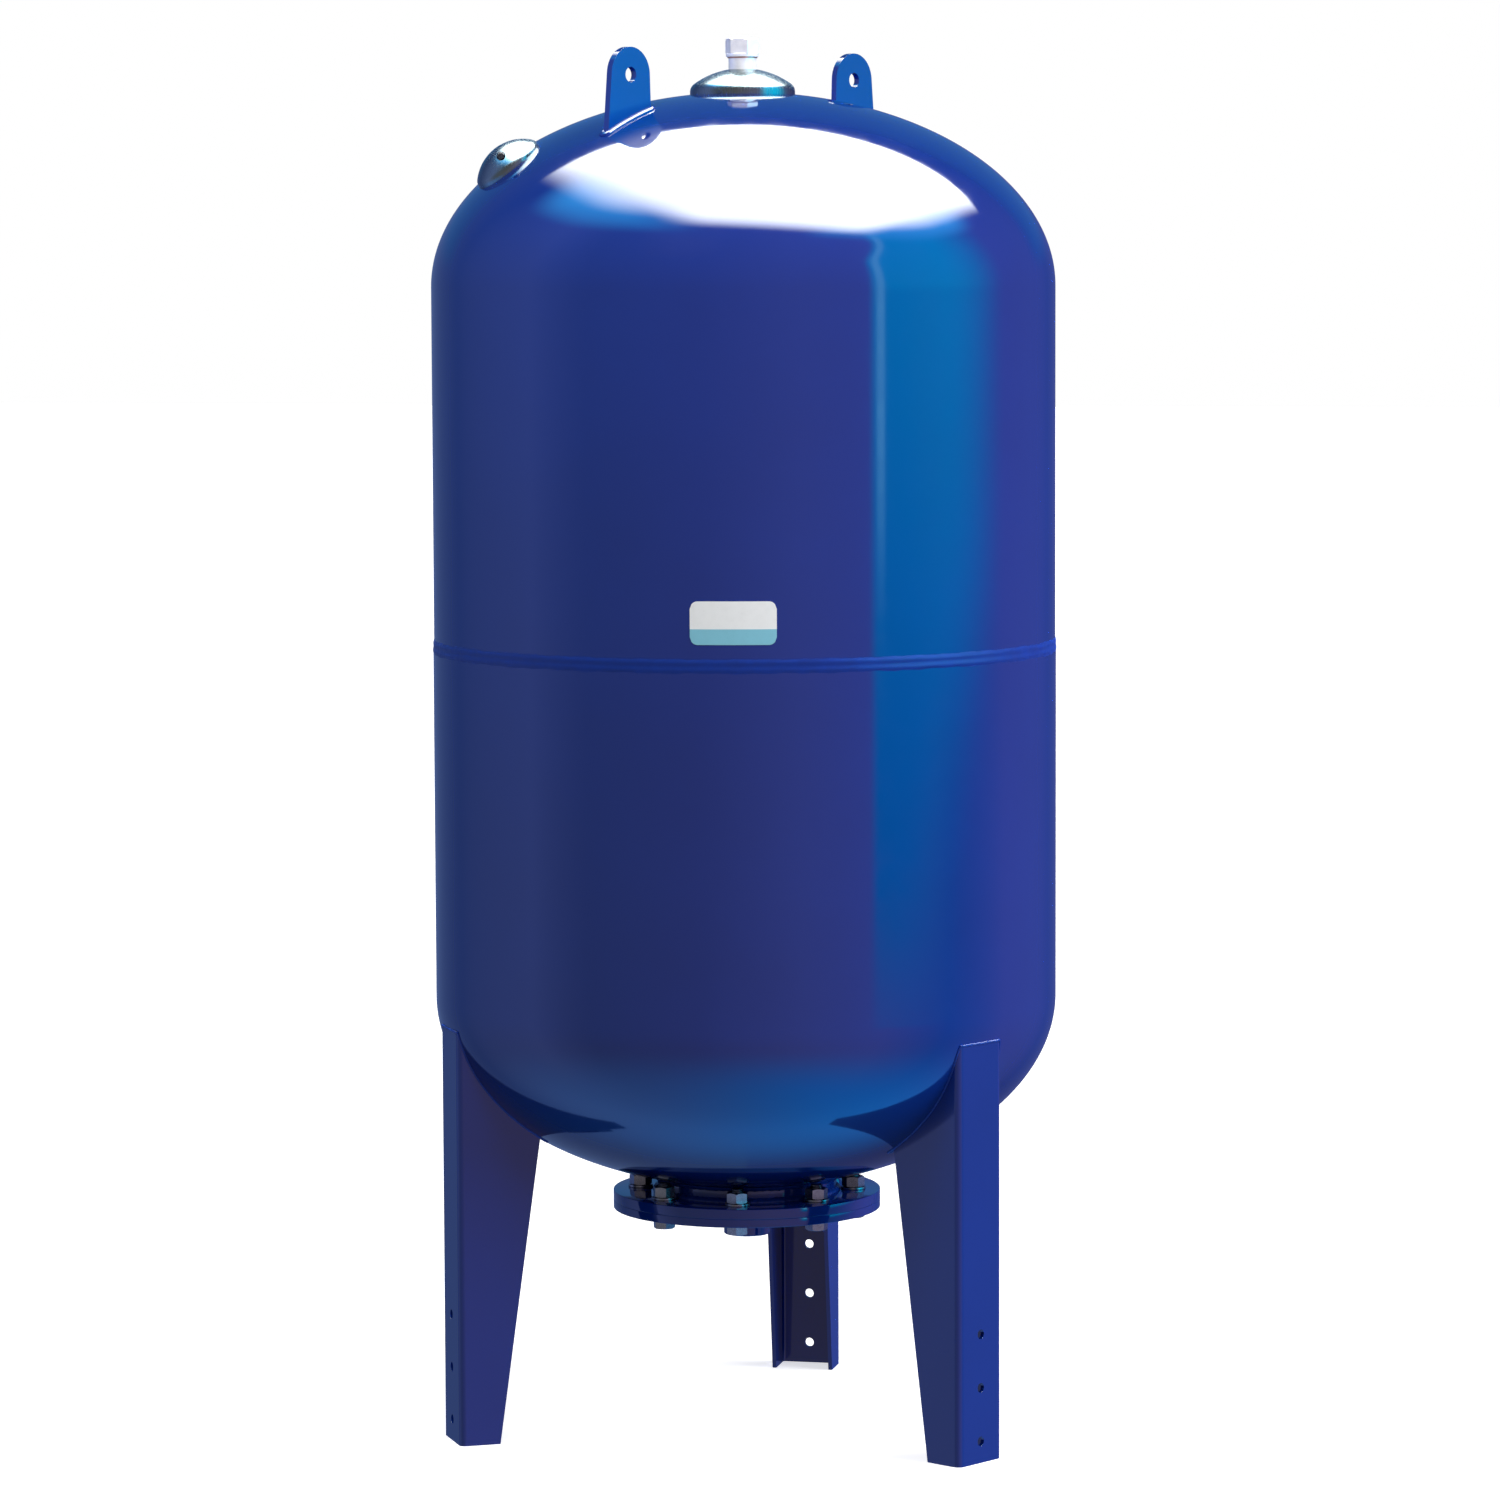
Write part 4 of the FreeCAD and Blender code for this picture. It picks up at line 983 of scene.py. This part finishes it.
def valve_frame():
    """Placement of the valve cover: origin on the head, +Z along the head's normal."""
    out = direction(VALVE_AZIMUTH)
    rise = head_rise(VALVE_RADIAL, UPPER_RADIUS)
    slope = HEAD_HEIGHT ** 2 * VALVE_RADIAL / (UPPER_RADIUS ** 2 * rise)
    normal = (out * slope + Vector((0, 0, 1))).normalized()
    level = Vector((-out.y, out.x, 0))
    matrix = Matrix((level, normal.cross(level), normal)).transposed().to_4x4()
    return Matrix.Translation(out * VALVE_RADIAL + Vector((0, 0, UPPER_TANGENT + rise))) @ matrix


def stem_frame():
    """Placement of the valve stem: origin at the cap's hinge point, +Z along the stem."""
    cap = next(joint for joint in frame["joints"] if joint["name"] == "cap_turn")
    along = Vector(cap["axis"]).normalized()
    return Matrix.Translation(cap["pos_m"]) @ along.to_track_quat("Z", "Y").to_matrix().to_4x4()


def air_valve():
    """Dished cover of the air valve with a side hole for the stem."""
    profile = dished(*VALVE_COVER_SIZE, 0, **VALVE_COVER)
    cover = placed(lathe("valve_cover_pressed", profile, 160), valve_frame())
    hole = CAP_RADIUS + STEM_HOLE_GAP
    low, high = STEM_HOLE_REACH
    cutter = lathe("cutter", [(0.0, low), (hole, low), (hole, high), (0.0, high)], 48)
    cut_by(cover, placed(cutter, stem_frame()))
    cover.data.shade_smooth()
    cover.data.set_sharp_from_angle(angle=math.radians(SHARP))
    piece(cover, "cover_zinc", "valve_cover")


def dust_cap():
    """Dust cap with grip ribs and a domed end."""
    inverse = stem_frame().inverted()
    along = [(inverse @ v.co).z for v in frame["nodes"]["valve_cap"].data.vertices]
    low, high = min(along), max(along)

    def ribbed(drop, height):
        def ring(angle):
            return (CAP_RADIUS - drop - CAP_RIB_DEPTH * (1 + math.cos(CAP_RIBS * angle)), height)
        return ring

    inside = high - CAP_BORE_DEPTH
    rings = fixed([(0.0, inside), (CAP_BORE, inside), (CAP_BORE, low)])
    rings += [ribbed(0.35 * MM, low), ribbed(0.0, low + 0.4 * MM), ribbed(0.0, high - 1.2 * MM)]
    rings += [ribbed(0.2 * MM, high - 0.7 * MM), ribbed(0.7 * MM, high - 0.2 * MM)]
    rings += fixed([(CAP_FLAT, high), (0.0, high)])
    mesh = bmesh.new()
    add_rings(mesh, rings, 144, closed=False)
    cap = placed(new_object("dust_cap_ribbed", mesh, 30), stem_frame())
    piece(cap, "cap_plastic", "valve_cap", body="dust_cap")


# Label

def label_columns(mesh):
    """Columns of points across the label: low, band and high, first on its face and then on its back."""
    outer = radius_of("label_plate")
    low, high = span("label_plate")
    band = low + (high - low) * LABEL_BAND
    columns = []
    for index in range(LABEL_COLUMNS + 1):
        along = (index / LABEL_COLUMNS - 0.5) * LABEL_WIDTH
        past = max(0.0, abs(along) - (LABEL_WIDTH / 2 - LABEL_CORNER))
        cut = LABEL_CORNER - math.sqrt(max(0.0, LABEL_CORNER ** 2 - past ** 2))
        cut = min(cut, LABEL_CORNER - LABEL_END)
        out = direction(LABEL_AZIMUTH + along / outer)
        column = []
        for radius in (outer, outer - LABEL_THICKNESS):
            for height in (low + cut, band, high - cut):
                column.append(mesh.verts.new(out * radius + Vector((0, 0, height))))
        columns.append(column)
    return columns


def label():
    """Curved rating label with rounded corners: plain white above a plain blue band."""
    mesh = bmesh.new()
    columns = label_columns(mesh)
    for a, b in zip(columns, columns[1:]):
        for index, (i, j) in enumerate(((0, 1), (1, 2), (2, 5), (5, 4), (4, 3), (3, 0))):
            face = mesh.faces.new((a[i], b[i], b[j], a[j]))
            face.material_index = 1 if index == 0 else 0
    for column in (columns[0], columns[-1]):
        mesh.faces.new([column[i] for i in (0, 1, 2, 5, 4, 3)])
    obj = new_object("rating_label", mesh)
    blue = [face.material_index for face in obj.data.polygons]
    piece(obj, "label_white", "label_plate")
    obj.data.materials.append(MATERIALS["label_blue"])
    obj.data.polygons.foreach_set("material_index", blue)


def carried_over():
    """Gives every CAD node that stays its slot's material."""
    slots = {part["node"]: part["material_slot"] for part in frame["record"]["subparts"]}
    for name, obj in frame["nodes"].items():
        if not obj.hide_render:
            obj.data.materials.clear()
            obj.data.materials.append(MATERIALS[slots[name]])


# Studio

def node_math(tree, operation, *values):
    """One math node of the world, with its values set or linked."""
    node = tree.nodes.new("ShaderNodeMath")
    node.operation = operation
    for index, value in enumerate(values):
        feed(tree, node.inputs[index], value)
    return node.outputs[0]


def node_step(tree, value, start, end):
    """Smooth step of a value from 0 at the start to 1 at the end."""
    node = tree.nodes.new("ShaderNodeMapRange")
    node.interpolation_type = "SMOOTHSTEP"
    tree.links.new(value, node.inputs["Value"])
    node.inputs["From Min"].default_value = start
    node.inputs["From Max"].default_value = end
    return node.outputs[0]


def node_mix(tree, factor, first, second):
    """Colour between two others."""
    node = tree.nodes.new("ShaderNodeMix")
    node.data_type = "RGBA"
    for index, value in ((0, factor), (6, first), (7, second)):
        feed(tree, node.inputs[index], value)
    return node.outputs[2]


def times(tree, first, *others):
    """Product of several values."""
    for other in others:
        first = node_math(tree, "MULTIPLY", first, other)
    return first


def overhead(tree, x, y, z, colour):
    """Softbox on the ceiling, with a round front, a straight back and hazy ends, over a colour."""
    height = node_math(tree, "MAXIMUM", z, 0.01)
    px = node_math(tree, "SUBTRACT", node_math(tree, "DIVIDE", x, height), SOFTBOX_CENTRE[0])
    py = node_math(tree, "SUBTRACT", node_math(tree, "DIVIDE", y, height), SOFTBOX_CENTRE[1])
    wide = node_math(tree, "POWER", node_math(tree, "DIVIDE", px, SOFTBOX_HALF[0]), 2.0)
    deep = node_math(tree, "POWER", node_math(tree, "DIVIDE", py, SOFTBOX_HALF[1]), 2.0)
    spread = node_math(tree, "ADD", wide, times(tree, deep, node_step(tree, py, 0.02, -0.02)))
    inside = times(tree, node_step(tree, py, *SOFTBOX_BACK), node_step(tree, z, 0.2, 0.3))

    ends = node_math(tree, "MAXIMUM", node_step(tree, px, *HAZE_LEFT), node_step(tree, px, *HAZE_RIGHT))
    haze = times(tree, ends, node_step(tree, py, 0.6, 0.1), node_step(tree, spread, *HAZE_EDGE), inside)
    colour = node_mix(tree, haze, colour, SOFTBOX_HAZE)

    end = node_step(tree, node_math(tree, "ABSOLUTE", px), *SOFTBOX_END)
    middle = times(tree, node_step(tree, spread, *SOFTBOX_EDGE), node_math(tree, "SUBTRACT", 1.0, end))
    core = node_math(tree, "ADD", middle, times(tree, node_step(tree, spread, *SOFTBOX_END_EDGE), end))
    return node_mix(tree, times(tree, core, inside), colour, SOFTBOX)


def mirrored_room(tree):
    """What the gloss mirrors: a dim room with a ceiling softbox and a tall side panel."""
    where = tree.nodes.new("ShaderNodeTexCoord").outputs["Generated"]
    turn = tree.nodes.new("ShaderNodeVectorRotate")
    turn.rotation_type = "Z_AXIS"
    turn.inputs["Angle"].default_value = -VIEW_AZIMUTH
    tree.links.new(where, turn.inputs["Vector"])
    split = tree.nodes.new("ShaderNodeSeparateXYZ")
    tree.links.new(turn.outputs[0], split.inputs[0])
    x, y, z = split.outputs
    azimuth = node_math(tree, "DEGREES", node_math(tree, "ARCTAN2", x, node_math(tree, "MULTIPLY", y, -1.0)))
    share = node_math(tree, "ADD", node_math(tree, "DIVIDE", azimuth, 360.0), 0.5)
    colour = ramp_of(tree, share, [(angle / 360 + 0.5, shade) for angle, shade in ROOM])

    taper = node_math(tree, "MULTIPLY", node_step(tree, z, *PANEL_TAPER), PANEL_TAPER_ANGLE)
    far = node_step(tree, node_math(tree, "ADD", azimuth, taper), *PANEL_FAR)
    lean = node_math(tree, "MULTIPLY", node_step(tree, z, *PANEL_LEAN), PANEL_LEAN_ANGLE)
    near = node_math(tree, "SUBTRACT", azimuth, lean)
    panel = times(tree, node_step(tree, near, *PANEL_NEAR), far, node_step(tree, z, *PANEL_FOOT))
    panel_colour = node_mix(tree, node_step(tree, z, *PANEL_RISE), PANEL_LOW, PANEL_HIGH)
    colour = node_mix(tree, panel, colour, panel_colour)
    rim = times(tree, node_step(tree, near, *RIM_NEAR), node_step(tree, near, *RIM_FAR))
    colour = node_mix(tree, times(tree, rim, node_step(tree, z, *RIM_FOOT)), colour, RIM_COLOUR)

    glow = times(tree, node_step(tree, z, *GLOW_DOWN), node_step(tree, y, *GLOW_FRONT))
    glow_colour = node_mix(tree, node_step(tree, x, -0.5, 0.5), GLOW_LEFT, GLOW_RIGHT)
    colour = node_mix(tree, glow, colour, glow_colour)

    behind = times(tree, node_step(tree, y, *BEHIND), node_step(tree, z, 0.05, 0.2))
    colour = node_mix(tree, behind, colour, ROOM_BEHIND)
    return overhead(tree, x, y, z, colour)


def background(tree, colour, strength=1.0):
    """One background shader of the world."""
    node = tree.nodes.new("ShaderNodeBackground")
    feed(tree, node.inputs["Color"], colour)
    node.inputs["Strength"].default_value = strength
    return node.outputs[0]


def choose(tree, test, otherwise, then):
    """One background for some rays and another for the rest."""
    node = tree.nodes.new("ShaderNodeMixShader")
    for index, value in enumerate((test, otherwise, then)):
        tree.links.new(value, node.inputs[index])
    return node.outputs[0]


def world():
    """White studio with an even ambient light; only the gloss sees the room."""
    scene_world = bpy.data.worlds.new("studio")
    bpy.context.scene.world = scene_world
    scene_world.use_nodes = True
    tree = scene_world.node_tree
    tree.nodes.clear()
    rays = tree.nodes.new("ShaderNodeLightPath")
    lit = background(tree, (1, 1, 1), AMBIENT)
    lit = choose(tree, rays.outputs["Is Glossy Ray"], lit, background(tree, mirrored_room(tree)))
    lit = choose(tree, rays.outputs["Is Camera Ray"], lit, background(tree, (1, 1, 1)))
    tree.links.new(lit, tree.nodes.new("ShaderNodeOutputWorld").inputs["Surface"])


def lamp(name, kind, azimuth, distance, height, energy, **settings):
    """Soft light aimed at the vessel's middle; azimuth is counted from the camera's side."""
    data = bpy.data.lights.new(name, kind)
    data.energy = energy
    for key, value in settings.items():
        setattr(data, key, value)
    obj = bpy.data.objects.new(name, data)
    bpy.context.collection.objects.link(obj)
    obj.location = direction(VIEW_AZIMUTH + math.radians(azimuth)) * distance + Vector((0, 0, height))
    aim = obj.location - Vector((0, 0, SEAM))
    obj.rotation_euler = aim.to_track_quat("Z", "Y").to_euler()
    obj.visible_glossy = False


def floor():
    """Pale floor that neither mirrors in the enamel nor lights it from below."""
    mesh = bmesh.new()
    bmesh.ops.create_grid(mesh, x_segments=8, y_segments=8, size=40)
    plane = new_object("floor", mesh)
    shader = Shader(
        "floor", (0.86, 0.86, 0.86), 0.8, Specular_IOR_Level=0.0, Emission_Color=(1, 1, 1, 1),
        Emission_Strength=FLOOR_LIFT)
    shader.mottle(shader.noise(2, 3), 0.99, 1.0, 1.01)
    plane.data.materials.append(shader.material)
    plane.visible_glossy = False
    plane.visible_diffuse = False


def camera():
    """Camera at the photograph's angle."""
    data = bpy.data.cameras.new("camera")
    data.lens = CAMERA_LENS
    data.sensor_width = 36
    eye = bpy.data.objects.new("camera", data)
    bpy.context.collection.objects.link(eye)
    eye.location = direction(VIEW_AZIMUTH) * CAMERA_DISTANCE + Vector((0, 0, CAMERA_HEIGHT))
    eye.rotation_euler = (math.pi / 2 - CAMERA_PITCH, CAMERA_ROLL, VIEW_AZIMUTH - CAMERA_YAW)
    bpy.context.scene.camera = eye


def studio():
    """World, lights, floor and camera."""
    world()
    lamp("side", "SUN", 80, 5.0, SEAM + 2.3, SIDE_LIGHT, angle=math.radians(60))
    lamp("front", "AREA", -22, 1.25, 2.25, FRONT_LIGHT, size=0.6)
    floor()
    camera()
    bpy.context.scene.view_settings.view_transform = "Standard"


upper_shell()
lower_shell()
girth_weld()
neck()
flanges()
water_socket()
fasteners()
legs()
leg_beads()
lugs()
top_fitting()
plug()
air_valve()
dust_cap()
label()
carried_over()
studio()
